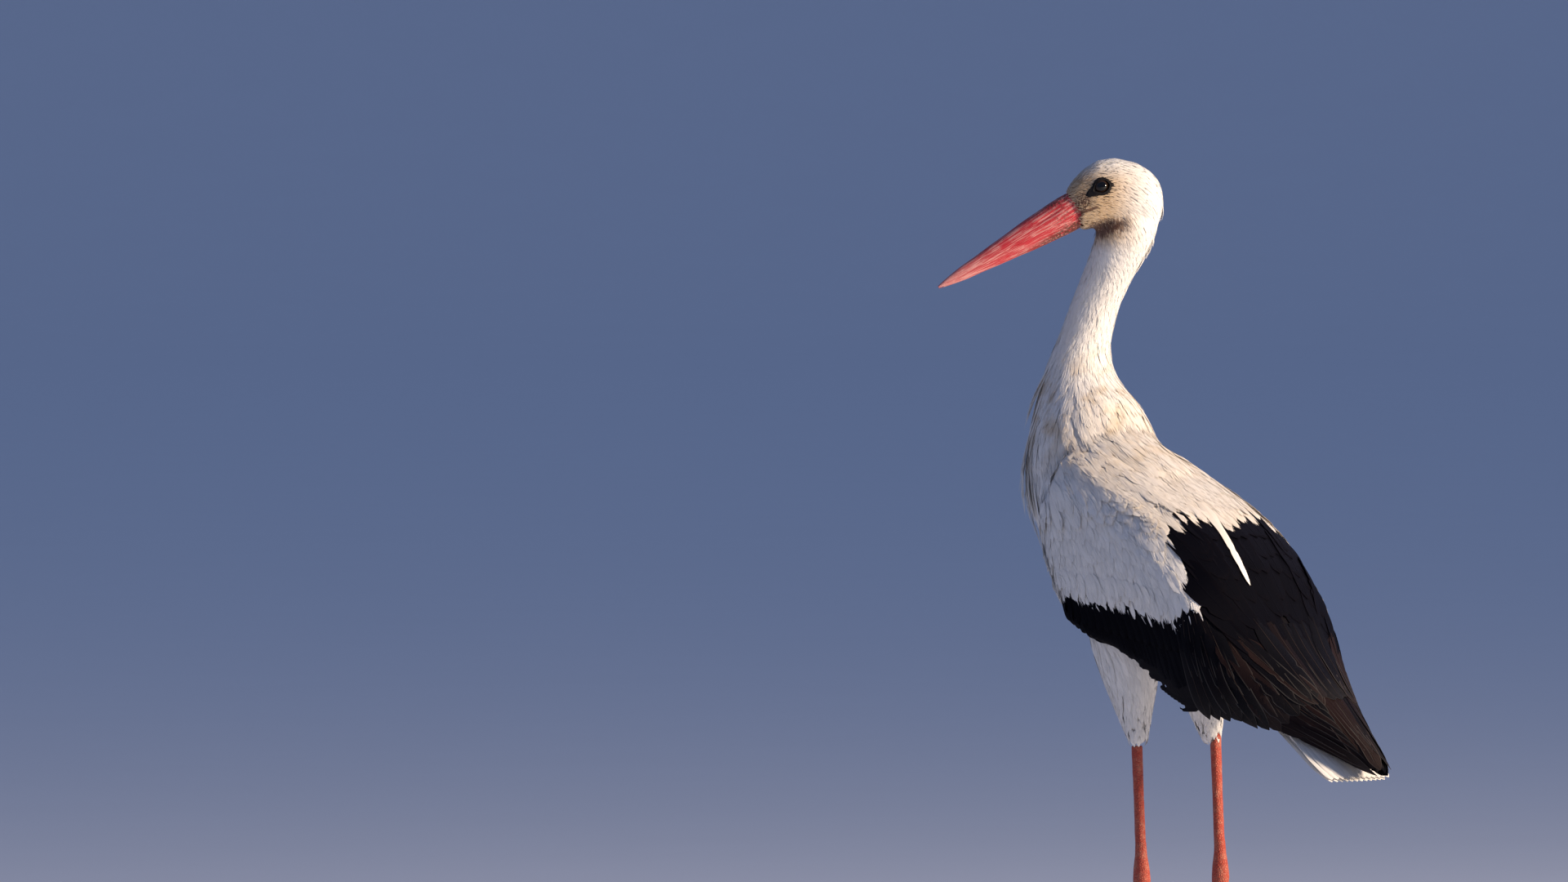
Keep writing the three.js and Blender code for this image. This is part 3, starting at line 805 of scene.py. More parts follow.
# on the body: left, back and up from the feet, then the way to the left, back and up
BODY_LIE = (
    ((0, -74, 942), (0.0, -0.45, -0.9)),
    ((0, -104, 894), (0.0, -0.52, -0.85)),
    ((0, -133, 841), (0.0, -0.38, -0.92)),
    ((0, -147, 790), (0.0, -0.08, -1.0)),
    ((0, -90, 745), (0.0, 0.45, -0.89)),
    ((0, -190, 735), (0.0, -0.2, -0.98)),
    ((45, -140, 735), (0.15, 0.0, -0.98)),
    ((20, -58, 710), (0.0, 0.92, -0.38)),
    ((20, 40, 665), (0.0, 0.9, -0.44)),
    ((78, -70, 690), (0.1, 0.8, -0.6)),
    ((80, -140, 690), (0.2, 0.35, -0.92)),
    ((0, -212, 690), (0.0, 0.05, -1.0)),
    ((0, -180, 640), (0.0, 0.5, -0.87)),
    ((60, -160, 650), (0.0, 0.55, -0.84)),
    ((95, -100, 640), (0.0, 0.6, -0.8)),
    ((100, -60, 600), (0.0, 0.55, -0.84)),
    ((100, 20, 610), (0.0, 0.66, -0.75)),
    ((95, 90, 585), (0.0, 0.66, -0.75)),
    ((98, -90, 560), (0.0, 0.38, -0.92)),
    ((98, 10, 552), (0.0, 0.40, -0.92)),
    ((95, 100, 545), (0.0, 0.48, -0.88)),
    ((40, -100, 560), (0.0, 0.8, -0.6)),
    ((0, -60, 535), (0.0, 0.93, -0.37)),
    ((0, 60, 460), (0.0, 0.9, -0.44)),
    ((85, 0, 520), (0.0, 0.75, -0.66)),
    ((60, -20, 480), (0.0, 0.25, -0.97)),
    ((52, 2, 400), (0.0, 0.05, -1.0)),
    ((0, 150, 415), (0.0, 0.86, -0.5)),
    ((0, 220, 395), (0.0, 0.82, -0.57)),
)


def lie_arrows():
    places, ways = [], []
    for (forward, up, side), (go, rise, out) in HEAD_LIE:
        for sign in (1, -1):
            places.append(in_head(forward, up, side * sign))
            ways.append(HEAD_FORWARD * go + UP * rise + HEAD_LEFT * out * sign)
    for (x, y, z), (out, back, rise) in BODY_LIE:
        for sign in (1, -1):
            places.append(at(x * sign, y, z))
            ways.append(Vector((out * sign, back, rise)))
    return np.array(places), unit(np.array(ways))


LIE_PLACES, LIE_WAYS = lie_arrows()


def lie(points):
    """Which way the plumage lies at each place."""
    apart = ((points[:, None, :] - LIE_PLACES[None]) ** 2).sum(-1)
    near = np.minimum(apart.min(1, keepdims=True), 0.05**2)
    weight = 1 / (apart + near * 0.15 + 0.00004) ** 2
    return unit((weight[:, :, None] * LIE_WAYS[None]).sum(1))


def spine_line():
    """The line from the forehead to the tail."""
    head = [in_head(54, -14), in_head(20, -6), in_head(-12, -8), in_head(-30, -24)]
    return np.array([tuple(p) for p in head + [at(0, y, z) for y, z in SPINE]])


SPINE_LINE = spine_line()


def unwrap(points):
    """The way along the spine and the turn round it for each place, both from 0 to 1."""
    starts, spans = SPINE_LINE[:-1], np.diff(SPINE_LINE, axis=0)
    lengths = np.linalg.norm(spans, axis=1)
    before = np.concatenate([[0], np.cumsum(lengths)])
    away = points[:, None, :] - starts[None]
    share = np.clip((away * spans[None]).sum(-1) / lengths**2, 0, 1)
    apart = np.linalg.norm(away - share[..., None] * spans[None], axis=-1)
    best = apart.argmin(1)
    row = np.arange(len(points))
    along = (before[best] + share[row, best] * lengths[best]) / before[-1]
    off = away[row, best] - share[row, best][:, None] * spans[best]
    way = spans[best] / lengths[best][:, None]
    front = unit(np.cross(way, np.array(LEFTWARD)))
    side = np.cross(way, front)
    turn = np.arctan2((off * side).sum(1), (off * front).sum(1)) / math.tau + 0.5
    return along, turn


# ---- feathers ----
# each ring gives places across a vane, from -1 to 1, and over it, in thicknesses
WISP_RING = ((-1, 0), (0, 0.8), (1, 0))
SLIM_RING = ((-1, 0), (0, 0.6), (1, 0), (0, -0.4))
STIFF_RING = (
    (-1, 0), (-0.9, 0.3), (-0.07, 0.5), (0, 1.1), (0.07, 0.5), (0.9, 0.3), (1, 0),
    (0.9, -0.3), (0, -0.5), (-0.9, -0.3),
)
PATCH = 0.003  # how much of the bake map one feather takes up


class Plumes:
    """Feathers gathered for one piece."""

    def __init__(self):
        self.points, self.loops, self.counts, self.facing = [], [], [], []
        self.vane, self.bake, self.tints, self.size = [], [], [], 0

    def add(self, paths, normals, widths, thickness, ring, camber, tint, crown, lean=0.0):
        """Vanes along paths [feather, row, 3]; widths are half widths [feather, row].

        Each vane is shaded like the body under it, rounded across by its crown, so that barbs blend."""
        count, rows = paths.shape[:2]
        sides = len(ring)
        ring = np.array(ring, float)
        along = unit(np.gradient(paths, axis=1))
        across = unit(np.cross(along, normals))
        over = unit(np.cross(across, along))
        lay = ring[:, 0][None, None, :] - lean
        rise = ring[:, 1] * thickness[..., None] - camber * ring[:, 0] ** 2 * widths[..., None]
        points = (
            paths[:, :, None]
            + across[:, :, None] * (lay * widths[..., None])[..., None]
            + over[:, :, None] * rise[..., None]
        )
        # the faces below have corners of their own at the two rims, so that both faces shade outwards
        below = (ring[:, 1] + np.roll(ring[:, 1], -1) < 0.01)[:, None]
        rims = [k for k in range(sides) if below[k] != below[k - 1]]
        points = np.concatenate([points, points[:, :, rims]], 2)
        index = self.size + np.arange(points.size // 3).reshape(count, rows, -1)
        twin = {corner: sides + k for k, corner in enumerate(rims)}
        first = [twin.get(k, k) if below[k] else k for k in range(sides)]
        second = [twin.get(k, k) if below[k - 1] else k for k in [*range(1, sides), 0]]
        turned, own = index[:, :, second], index[:, :, first]

        def paired(quads, axis):
            """Starts the faces below a corner later, so that a vane's two sides split along one diagonal."""
            return np.where(below if axis == -1 else below[..., None], np.roll(quads, -1, axis), quads)

        quads = np.stack([own[:, :-1], turned[:, :-1], turned[:, 1:], own[:, 1:]], -1)
        self.points.append(points.reshape(-1, 3))
        self.loops.append(paired(quads, -1).reshape(-1))
        self.counts.append(np.full(quads.size // 4, 4))
        outward = normals[:, :, None] * np.where(below, -1.0, 1.0)
        face = unit(outward + across[:, :, None] * (ring[:, :1] * crown))
        beside_face = unit(outward + across[:, :, None] * (np.roll(ring[:, :1], -1, 0) * crown))
        corners = np.stack([face[:, :-1], beside_face[:, :-1], beside_face[:, 1:], face[:, 1:]], -2)
        self.facing.append(paired(corners, -2).reshape(-1, 3))
        share = np.linspace(0, 1, rows)[None, :, None]
        low, high = share[:, :-1], share[:, 1:]
        shape = (count, rows - 1, sides)

        def mapped(near, far):
            """The coordinates at the four corners of each face."""
            around = ((near, low), (far, low), (far, high), (near, high))
            return np.stack(
                [np.stack([np.broadcast_to(values, shape) for values in pair], -1) for pair in around], -2
            )

        spread = (ring[:, 0] + 1) / 2
        turn = np.arange(sides + 1) / sides
        vane = mapped(spread, np.roll(spread, -1))
        bake = mapped(turn[:-1], turn[1:])
        base_v, base_u = unwrap(paths[:, 0])
        base = np.stack([base_u, base_v], -1)
        self.vane.append(paired(vane, -2).reshape(-1, 2))
        self.bake.append((paired(bake, -2) * PATCH + base[:, None, None, None]).reshape(-1, 2))
        for row, flip in ((0, -1), (rows - 1, 1)):
            cap = index[:, row, :sides][:, ::flip]
            self.loops.append(cap.reshape(-1))
            self.counts.append(np.full(count, sides))
            lower = (below & np.roll(below, 1, 0))[::flip]
            self.facing.append((normals[:, row, None] * np.where(lower, -1.0, 1.0)).reshape(-1, 3))
            angle = np.arange(sides) / sides * math.tau
            disc = np.stack([np.cos(angle), np.sin(angle)], -1) * 0.06
            self.vane.append(np.broadcast_to((0.5, float(row > 0)), (count * sides, 2)).copy())
            end = disc[None] + np.array((0.5, -0.08 if row == 0 else 1.08))
            self.bake.append((end * PATCH + base[:, None]).reshape(-1, 2))
        self.tints.append(np.repeat(tint, points[0].size // 3))
        self.size += points.size // 3

    def piece(self, name, material):
        loops, counts = np.concatenate(self.loops), np.concatenate(self.counts)
        mesh = bpy.data.meshes.new(name)
        mesh.vertices.add(self.size)
        mesh.vertices.foreach_set("co", np.concatenate(self.points).reshape(-1))
        mesh.loops.add(len(loops))
        mesh.loops.foreach_set("vertex_index", loops.astype(np.int32))
        mesh.polygons.add(len(counts))
        mesh.polygons.foreach_set("loop_start", (np.cumsum(counts) - counts).astype(np.int32))
        mesh.update(calc_edges=True)
        for map_name, values in (("vane", self.vane), ("OFBake", self.bake)):
            layer = mesh.uv_layers.new(name=map_name)
            layer.data.foreach_set("uv", np.concatenate(values).reshape(-1).astype(np.float32))
        tint = mesh.attributes.new("tint", "FLOAT", "POINT")
        tint.data.foreach_set("value", np.concatenate(self.tints).astype(np.float32))
        mesh.validate()
        mesh.shade_smooth()
        facing = mesh.attributes.new("custom_normal", "FLOAT_VECTOR", "CORNER")
        facing.data.foreach_set("vector", np.concatenate(self.facing).reshape(-1).astype(np.float32))
        return place_piece(name, mesh, material)


def pointed(t):
    """Half width along a small pointed feather."""
    return np.interp(t, (0, 0.15, 0.4, 0.65, 0.85, 0.96, 1), (0.35, 0.8, 1, 0.82, 0.46, 0.18, 0.05))


def rounded(t):
    """Half width along a small round-ended feather."""
    return np.interp(t, (0, 0.15, 0.45, 0.75, 0.9, 0.97, 1), (0.4, 0.82, 1, 0.95, 0.7, 0.38, 0.12))


def scatter(form, spacing, keep, seed):
    """Places spread over part of a form, no closer together than the spacing there, in metres."""
    rng = np.random.default_rng(seed)
    corners = form.points[form.faces]
    centre = corners.mean(1)
    wanted = keep(centre)
    corners, centre = corners[wanted], centre[wanted]
    area = np.linalg.norm(np.cross(corners[:, 2] - corners[:, 0], corners[:, 3] - corners[:, 1]), axis=1) / 2
    expected = area * 3.2 / spacing(centre) ** 2
    number = np.floor(expected + rng.random(len(expected))).astype(int)
    which = np.repeat(np.arange(len(corners)), number)
    u, v = rng.random((2, len(which), 1))
    low = corners[which, 0] * (1 - u) + corners[which, 1] * u
    high = corners[which, 3] * (1 - u) + corners[which, 2] * u
    points = low * (1 - v) + high * v
    rng.shuffle(points)
    apart = spacing(points)
    tree = KDTree(len(points))
    for i, point in enumerate(points):
        tree.insert(point, i)
    tree.balance()
    free = np.ones(len(points), bool)
    taken = []
    for i, point in enumerate(points):
        if free[i]:
            taken.append(i)
            for _, other, _ in tree.find_range(point, apart[i]):
                free[other] = False
    return points[taken]


# ---- which part of the bird a place belongs to ----
WHITE_NODES = (
    "head", "neck_upper", "neck_middle", "neck_lower", "breast", "trunk", "tail", "thigh_left", "thigh_right",
    "wing_left_coverts", "wing_right_coverts",
)
DARK_TRACTS = ("greater_coverts", "secondaries", "scapulars", "tertials", "primaries")
DARK_NODES = tuple(f"wing_{side}_{tract}" for side, _ in SIDES for tract in DARK_TRACTS)
EYE_NODES = ("eye_left", "eye_right")
COATED_NODES = WHITE_NODES + DARK_NODES + EYE_NODES
LEG_NODES = tuple(
    f"{part}_{side}" if "toe" not in part else f"toe_{side}_{part[4:]}"
    for side, _ in SIDES
    for part in ("shank", "heel", "tarsus", "foot", *("toe_" + toe for toe in TOES))
)


class Regions:
    """Finds the node that a place belongs to."""

    def __init__(self):
        self.names = COATED_NODES
        points, faces, self.owner = [], [], []
        for index, name in enumerate(self.names):
            more, shapes = gather((name,))
            faces += [[len(points) + i for i in face] for face in shapes]
            points += more
            self.owner += [index] * len(shapes)
        self.tree = BVHTree.FromPolygons(points, faces)

    def among(self, points, *names):
        wanted = {self.names.index(name) for name in names}
        faces = [self.tree.find_nearest(Vector(point))[2] for point in points]
        return np.array([self.owner[face] in wanted for face in faces])


@lru_cache(None)
def body_form():
    return Form(remeshed(COATED_NODES, 2.2 * MM, 10))


@lru_cache(None)
def regions():
    return Regions()


def patch_outline(angle):
    """How far the bare black skin reaches round the eye, in millimetres, by the angle from forwards."""
    front = np.exp(-((np.mod(angle + 0.55 + math.pi, math.tau) - math.pi) / 0.34) ** 2)
    rear = np.exp(-((np.mod(angle - 2.94 + math.pi, math.tau) - math.pi) / 0.2) ** 2)
    return 8.9 + 10.5 * front + 3.0 * rear


def near_eye(points, margin):
    """Whether each place is on the bare skin round the eye, or within a margin of it."""
    forward, up, _ = head_coordinates(points)
    away = np.hypot(forward - EYE_FORWARD, up - EYE_UP)
    return away < patch_outline(np.arctan2(up - EYE_UP, forward - EYE_FORWARD)) + margin


# ---- skin ----
# along a joint of the leg: how far from its middle, and half its width and depth there, in millimetres
HEEL_SLEEVE = (
    (-40, 4.6, 5.8), (-26, 5.3, 6.6), (-13, 7.2, 9.0), (0, 8.0, 10.4), (13, 7.2, 9.2), (26, 5.6, 6.9),
    (40, 5.0, 6.2),
)
FOOT_SLEEVE = ((-2, 8.0, 9.0), (8, 7.8, 8.8), (18, 6.6, 7.8), (30, 5.5, 6.8), (44, 4.9, 6.1))


def limb_end(node, top):
    """The middle of one end of a limb."""
    points = np.array([tuple(point) for point in gather((node,))[0]])
    height = points[:, 2]
    near = height > height.max() - 4 * MM if top else height < height.min() + 4 * MM
    return points[near].mean(0)


def sleeve(centre, above, under, rows):
    """A smooth knob round a joint between the limb that comes down to it and the one that goes on."""
    turn = np.linspace(0, math.tau, 20, endpoint=False)
    points = []
    for along, wide, deep in rows:
        way = unit(above - centre) if along > 0 else unit(centre - under)
        core = centre + way * along * MM
        points += [
            Vector(core + np.array((math.cos(a) * wide, math.sin(a) * deep, 0.0)) * MM) for a in turn
        ]
    sides, last = len(turn), len(turn) * (len(rows) - 1)
    faces = [
        [start + k, start + (k + 1) % sides, start + sides + (k + 1) % sides, start + sides + k]
        for start in range(0, last, sides)
        for k in range(sides)
    ]
    faces += [list(range(sides))[::-1], [last + k for k in range(sides)]]
    return points, faces


def leg_sleeves():
    for side, _ in SIDES:
        heel, foot = np.array(middle("heel_" + side)), np.array(middle("foot_" + side))
        yield sleeve(heel, limb_end("shank_" + side, True), limb_end("tarsus_" + side, False), HEEL_SLEEVE)
        yield sleeve(foot, limb_end("tarsus_" + side, True), foot - np.array((0, 0, 1.0)), FOOT_SLEEVE)


SKIN_INSET = 2.4 * MM


def skin_depth(points):
    """How far the skin lies inside the coat: least on the head, but deep behind the eyes."""
    forward, up, _ = head_coordinates(points)
    eye_gap = np.hypot(forward - EYE_FORWARD, up - EYE_UP)
    depth = np.interp(up, (-300, -190, -60, -45), (1.7, 1.4, 1.1, 0.8))
    near_head = np.linalg.norm(points - np.array(SKULL), axis=1) < 75 * MM
    return (depth + near_head * 4.5 * ease(15, 8, eye_gap)) * MM


class STORK_OT_skin(bpy.types.Operator):
    """Make one skin under the plumage and down the bare legs"""

    bl_idname = "stork.skin"
    bl_label = "Skin"

    def execute(self, context):
        flesh = tuple(name for name in WHITE_NODES if name != "tail") + EYE_NODES
        body = remeshed(flesh, 3.3 * MM, 6, inset=SKIN_INSET)
        points = points_of(body)
        points += normals_of(body) * (SKIN_INSET - skin_depth(points))[:, None]
        legs = remeshed(LEG_NODES, 1.2 * MM, 5, added=leg_sleeves())
        leg_points = points_of(legs) + normals_of(legs) * 0.15 * MM
        leg_points[:, 2] = leg_points[:, 2].clip(0)
        faces = [list(polygon.vertices) for polygon in body.polygons]
        leg_faces = [[len(points) + i for i in polygon.vertices] for polygon in legs.polygons]
        mesh = bpy.data.meshes.new("skin")
        mesh.from_pydata(np.concatenate([points, leg_points]).tolist(), [], faces + leg_faces)
        which = np.repeat([0, 1], [len(faces), len(leg_faces)]).astype(np.int32)
        mesh.polygons.foreach_set("material_index", which)
        mesh.shade_smooth()
        skin = place_piece("skin", mesh, skin_finish(), leg_finish())
        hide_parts(*(name for name in WHITE_NODES if name != "tail"), *LEG_NODES)
        return {"FINISHED"}


# ---- small feathers ----
def fringe(plumes, paths, normals, half, locks, slim, tint, rng, crown):
    """Fine locks that fan out over the far half of each feather and break up its rim."""
    count, rows = paths.shape[:2]
    along = unit(np.gradient(paths, axis=1))
    across = unit(np.cross(along, normals))
    reach = np.linalg.norm(np.diff(paths, axis=1), axis=2).sum(1)
    share = np.linspace(0, 1, 3)
    row = np.arange(count)[:, None]
    for lock in range(locks):
        side = (lock + 0.5) / locks * 2 - 1 + rng.normal(0, 0.12, count)
        start = 0.15 + 0.35 * rng.random(count)
        end = 1.10 - 0.28 * side**2 - rng.random(count) * 0.16
        t = start[:, None] + (end - start)[:, None] * share
        spot = np.clip(t, 0, 1) * (rows - 1)
        low = np.minimum(spot.astype(int), rows - 2)
        part = (spot - low)[..., None]
        place = paths[row, low] * (1 - part) + paths[row, low + 1] * part
        way, aside, above = along[row, low + 1], across[row, low + 1], normals[row, low + 1]
        place = place + way * (np.maximum(t - 1, 0) * reach[:, None])[..., None]
        offset = side[:, None] * (0.45 + 0.62 * share) * half[:, None]
        height = (0.07 + 0.14 * rng.random(count))[:, None] * np.sin(share * 2.4) * MM
        place = place + aside * offset[..., None] + above * height[..., None]
        widths = (half * slim * (0.7 + 0.5 * rng.random(count)))[:, None] * np.array((0.75, 1.0, 0.08))
        shade = np.clip(tint + rng.normal(0, 0.15, count), 0, 1)
        above = unit(above + rng.normal(0, 0.07, (count, 1, 3)))
        plumes.add(place, above, widths, widths * 0.12 + 0.04 * MM, WISP_RING, 0.0, shade, crown)


def ripples(points, size, seed):
    """Smooth chance values about 0 for each place, in waves of a size in metres."""
    rng = np.random.default_rng(seed)
    ways = unit(rng.normal(0, 1, (7, 3))) * math.tau / size * rng.uniform(0.6, 1.5, (7, 1))
    return np.sin(points @ ways.T + rng.random(7) * math.tau).sum(1) / 2.6


PIECE_LIMIT = 170000  # how many triangles one piece may have


def soft_coat(
    name, form, roots, seed, length, half, depth, lift, steps, shape, locks,
    slim=0.2, spread=0.1, stray=0.12, sway=0.0, puff=0.0, body=1.0, crown=0.25,
):
    """Small feathers from their roots along the lie of the plumage, in as many pieces as it takes.

    Sizes are in millimetres, one for each root or one for all. The roots lie depth under the form, and
    the tips lift over it. Neighbours sway and puff up together. The plain vane is body times as wide as
    its fan of locks."""
    rng = np.random.default_rng(seed)
    order = np.argsort(roots[:, 2])
    roots, length, half, depth, lift = (
        np.broadcast_to(values, len(roots))[order] if np.ndim(values) < 2 else values[order]
        for values in (roots, length, half, depth, lift)
    )
    size = 1 + rng.normal(0, 0.13, len(roots)).clip(-0.3, 0.3)
    drift = np.stack([ripples(roots, 34 * MM, seed + k) for k in (70, 71, 72)], -1)
    way = unit(lie(roots) + rng.normal(0, spread, (len(roots), 3)) + drift * sway)
    paths, normals = march(form, roots, way, length * size * MM, steps)
    t = np.linspace(0, 1, steps + 1)
    puffed = puff * ripples(roots, 26 * MM, seed + 73).clip(0, 2)
    lift = lift + np.abs(rng.normal(0, stray, len(roots))) + puffed
    height = -depth[:, None] + (depth + lift)[:, None] * t
    paths = paths + normals * (height * MM)[..., None]
    half = half * size * MM
    widths = half[:, None] * shape(t) * body
    tint = rng.random(len(roots))
    each = 2 * len(SLIM_RING) * steps + 4 + locks * 14  # triangles
    chunks = math.ceil(len(roots) * each / PIECE_LIMIT)
    for k, rows in enumerate(np.array_split(np.arange(len(roots)), chunks)):
        plumes = Plumes()
        thickness = np.full((len(rows), steps + 1), 0.22 * MM) * (1.1 - 0.6 * t)
        turned = unit(normals[rows] + rng.normal(0, 0.06, (len(rows), 1, 3)))
        plumes.add(paths[rows], turned, widths[rows], thickness, SLIM_RING, 0.05, tint[rows], crown)
        if locks:
            fringe(plumes, paths[rows], normals[rows], half[rows], locks, slim, tint[rows], rng, crown)
        plumes.piece(name if chunks == 1 else f"{name}_{k + 1}", white_finish())


def spread_over(names, spacing, seed):
    """Places spread evenly over some nodes, about as far apart as the spacing in millimetres."""
    return scatter(
        body_form(),
        lambda points: np.full(len(points), spacing * MM),
        lambda points: regions().among(points, *names),
        seed,
    )


def on_breast(turn, height):
    """Places on the breast by the turn round it from straight ahead and the height in millimetres."""
    aim = to_world(np.stack([np.sin(turn) * 90, -125 - np.cos(turn) * 90, height], -1))
    return body_form().under(aim)[0]


class STORK_OT_face(bpy.types.Operator):
    """Cover the head with short feathers, smallest at the bill and round the eyes"""

    bl_idname = "stork.face"
    bl_label = "Head feathers"

    def execute(self, context):
        form, seed = body_form(), plumage().seed

        def rear(points):
            forward, up, _ = head_coordinates(points)
            return ease(15, -45, forward) * 0.75 + ease(0, -50, up) * 0.25

        def keep(points):
            forward, up, _ = head_coordinates(points)
            fits = regions().among(points, "head", "eye_left", "eye_right")
            return fits & ~near_eye(points, 0.4) & (forward < bill_edge(up) - 0.3)

        roots = scatter(form, lambda points: (1.55 + 1.2 * rear(points)) * MM, keep, seed)
        back = rear(roots)
        tips = roots + lie(roots) * ((4 + 5 * back) * MM)[:, None]
        clear = ~near_eye(tips, -1.2)
        roots, back = roots[clear], back[clear]
        soft_coat(
            "head_feathers", form, roots, seed + 1, 5.4 + 8.6 * back, 0.72 + 1.1 * back, 0.35 + 0.15 * back,
            0.14, 3, pointed, 0, spread=0.12, stray=0.05,
        )
        self.tufts(form, seed)
        self.throat(form, seed)
        return {"FINISHED"}

    def tufts(self, form, seed):
        """Loose pointed feathers that stand off the nape and the back of the neck."""
        rng = np.random.default_rng(seed + 40)
        ups = np.concatenate([rng.normal(-12, 5, 7), rng.uniform(-122, -66, 22)])
        aim = np.array([tuple(in_head(-110, up, side)) for up, side in zip(ups, rng.normal(0, 9, len(ups)))])
        roots = form.under(aim)[0]
        soft_coat(
            "nape_tufts", form, roots, seed + 41, rng.uniform(12, 19, len(ups)), 1.7, 0.4,
            rng.uniform(0.8, 2.8, len(ups)), 5, pointed, 5, slim=0.22, spread=0.16,
        )

    def throat(self, form, seed):
        """Fine wisps that hang under the jaw, coloured there by the throat band of dark skin and painted
        shadow.
        """
        rng = np.random.default_rng(seed + 42)
        count = 150
        forward, side = rng.uniform(-16, 22, count), rng.uniform(6, 26, count) * rng.choice((-1, 1), count)
        up = -31 - 0.24 * forward + rng.normal(0, 5, count)
        aim = np.array([tuple(in_head(*spot)) for spot in zip(forward, up, side)])
        roots = form.under(aim)[0]
        soft_coat(
            "throat_wisps", form, roots, seed + 43, rng.uniform(7, 15, count), 0.8, 0.3,
            rng.uniform(0.3, 1.9, count), 5, pointed, 3, slim=0.3, spread=0.3, sway=0.2,
        )


class STORK_OT_neck(bpy.types.Operator):
    """Clothe the neck in long narrow feathers"""

    bl_idname = "stork.neck"
    bl_label = "Neck feathers"

    def execute(self, context):
        form, seed = body_form(), plumage().seed

        def low(points):
            return ease(950, 740, (points[:, 2] - FEET.z) / MM)

        roots = scatter(
            form,
            lambda points: (3.0 + 2.2 * low(points)) * MM,
            lambda points: regions().among(points, "neck_upper", "neck_middle", "neck_lower"),
            seed + 2,
        )
        down = low(roots)
        soft_coat(
            "neck_feathers", form, roots, seed + 3, 15 + 24 * down, 2.1 + 2.1 * down, 0.7 + 0.4 * down,
            0.12 + 0.1 * down, 4, pointed, 5, slim=0.2, stray=0.1, sway=0.18, puff=0.5, body=1.3,
        )
        return {"FINISHED"}


THIGH_HEM = 396  # the height that the feathers of the thighs start over, in millimetres


class STORK_OT_body(bpy.types.Operator):
    """Clothe the breast, back, belly and thighs"""

    bl_idname = "stork.body"
    bl_label = "Body feathers"

    def execute(self, context):
        form, seed = body_form(), plumage().seed
        roots = spread_over(("breast", "trunk"), 8.0, seed + 4)
        _, y, z = body_coordinates(roots)
        front = ease(-120, -185, y) * ease(600, 650, z)
        neck = ease(690, 740, z)
        soft_coat(
            "body_feathers", form, roots, seed + 5, 40 + 26 * front - 6 * neck,
            7.0 - 2.4 * front - 2.2 * neck, 1.0, 0.1 + 0.4 * front, 5, rounded, 10, slim=0.13, stray=0.04,
            sway=0.05, body=1.05,
        )
        self.plumes(form, seed)
        self.shoulders(form, seed)
        roots = spread_over(("thigh_left", "thigh_right"), 5.0, seed + 6)
        legs = tuple(f"{part}_{side}" for part in ("thigh", "shank") for side, _ in SIDES)
        hose = Form(remeshed(("trunk", *legs), 2.2 * MM, 8))
        roots = roots[body_coordinates(roots)[2] > THIGH_HEM]
        low = ease(520, 395, body_coordinates(roots)[2])
        soft_coat(
            "thigh_feathers", hose, roots, seed + 7, 34 - 21 * low, 4.0 - 1.8 * low, 1.0 - 0.6 * low,
            0.2 + 0.4 * low, 5, pointed, 4, slim=0.24, stray=0.12, sway=0.08, body=1.25,
        )
        return {"FINISHED"}

    def plumes(self, form, seed):
        """Long narrow feathers that hang over the breast, close, standing off, and loose on the left."""
        rng = np.random.default_rng(seed + 20)
        count = 150
        turn = rng.uniform(-1.15, 1.15, count)
        height = rng.uniform(690, 800, count)
        low = ease(800, 690, height)
        soft_coat(
            "breast_plumes", form, on_breast(turn, height), seed + 21, rng.uniform(60, 100, count) - 20 * low,
            3.6, 0.6, rng.uniform(0.8, 3.2, count), 8, pointed, 6, slim=0.2, spread=0.05, crown=0.7,
        )
        count = 40
        turn = rng.uniform(0.6, 1.15, count) * rng.choice((-1, 1), count)
        height = rng.uniform(728, 768, count)
        soft_coat(
            "hanging_plumes", form, on_breast(turn, height), seed + 29, rng.uniform(85, 125, count), 3.4, 0.6,
            rng.uniform(3.0, 8.5, count), 9, pointed, 6, slim=0.2, spread=0.05, crown=1.0,
        )
        each = 8
        count = 2 * each
        turn = 0.97 + rng.normal(0, 0.08, count)
        height = np.repeat((806, 748), each) + rng.normal(0, 4, count)
        length = np.repeat((70, 108), each) * rng.uniform(0.9, 1, count)
        soft_coat(
            "loose_plumes", form, on_breast(turn, height), seed + 33, length, 4.2, 0.6,
            np.repeat((8.0, 12.0), each), 10, pointed, 7, slim=0.15, spread=0.03, crown=1.0,
        )

    def shoulders(self, form, seed):
        """Soft feathers that fall over the top of each folded wing."""
        rng = np.random.default_rng(seed + 22)

        def rooted(line, count, stray, aside):
            heels = along_line(line, rng.random(count)) + rng.normal(0, stray, (count, 2))
            return form.over(both_sides(np.hstack([np.full((count, 1), aside), heels])))[0]

        count = 44
        line = ((-120, 664), (-98, 676), (-58, 688), (-8, 684), (32, 672), (60, 656))
        roots = rooted(line, count, 5, 125.0)
        soft_coat(
            "shoulder_feathers", form, roots, seed + 23, rng.uniform(36, 50, 2 * count), 7.0, 0.5,
            rng.uniform(1.2, 3.0, 2 * count), 6, rounded, 11, slim=0.14, spread=0.12,
        )
        # these stand up on the left and lie almost flat on the right
        count = 34
        fold = ((-34, 692), (0, 690), (30, 680), (58, 664))
        roots = rooted(fold, count, 3, 112.0)
        length = rng.uniform(24, 34, 2 * count)
        lift = rng.uniform(2.6, 5.2, 2 * count) * np.repeat([1.0, 0.25], count)
        soft_coat(
            "fold_feathers", form, roots, seed + 30, length, 6.0, 0.3, lift, 6, rounded, 11, slim=0.14,
            spread=0.12,
        )


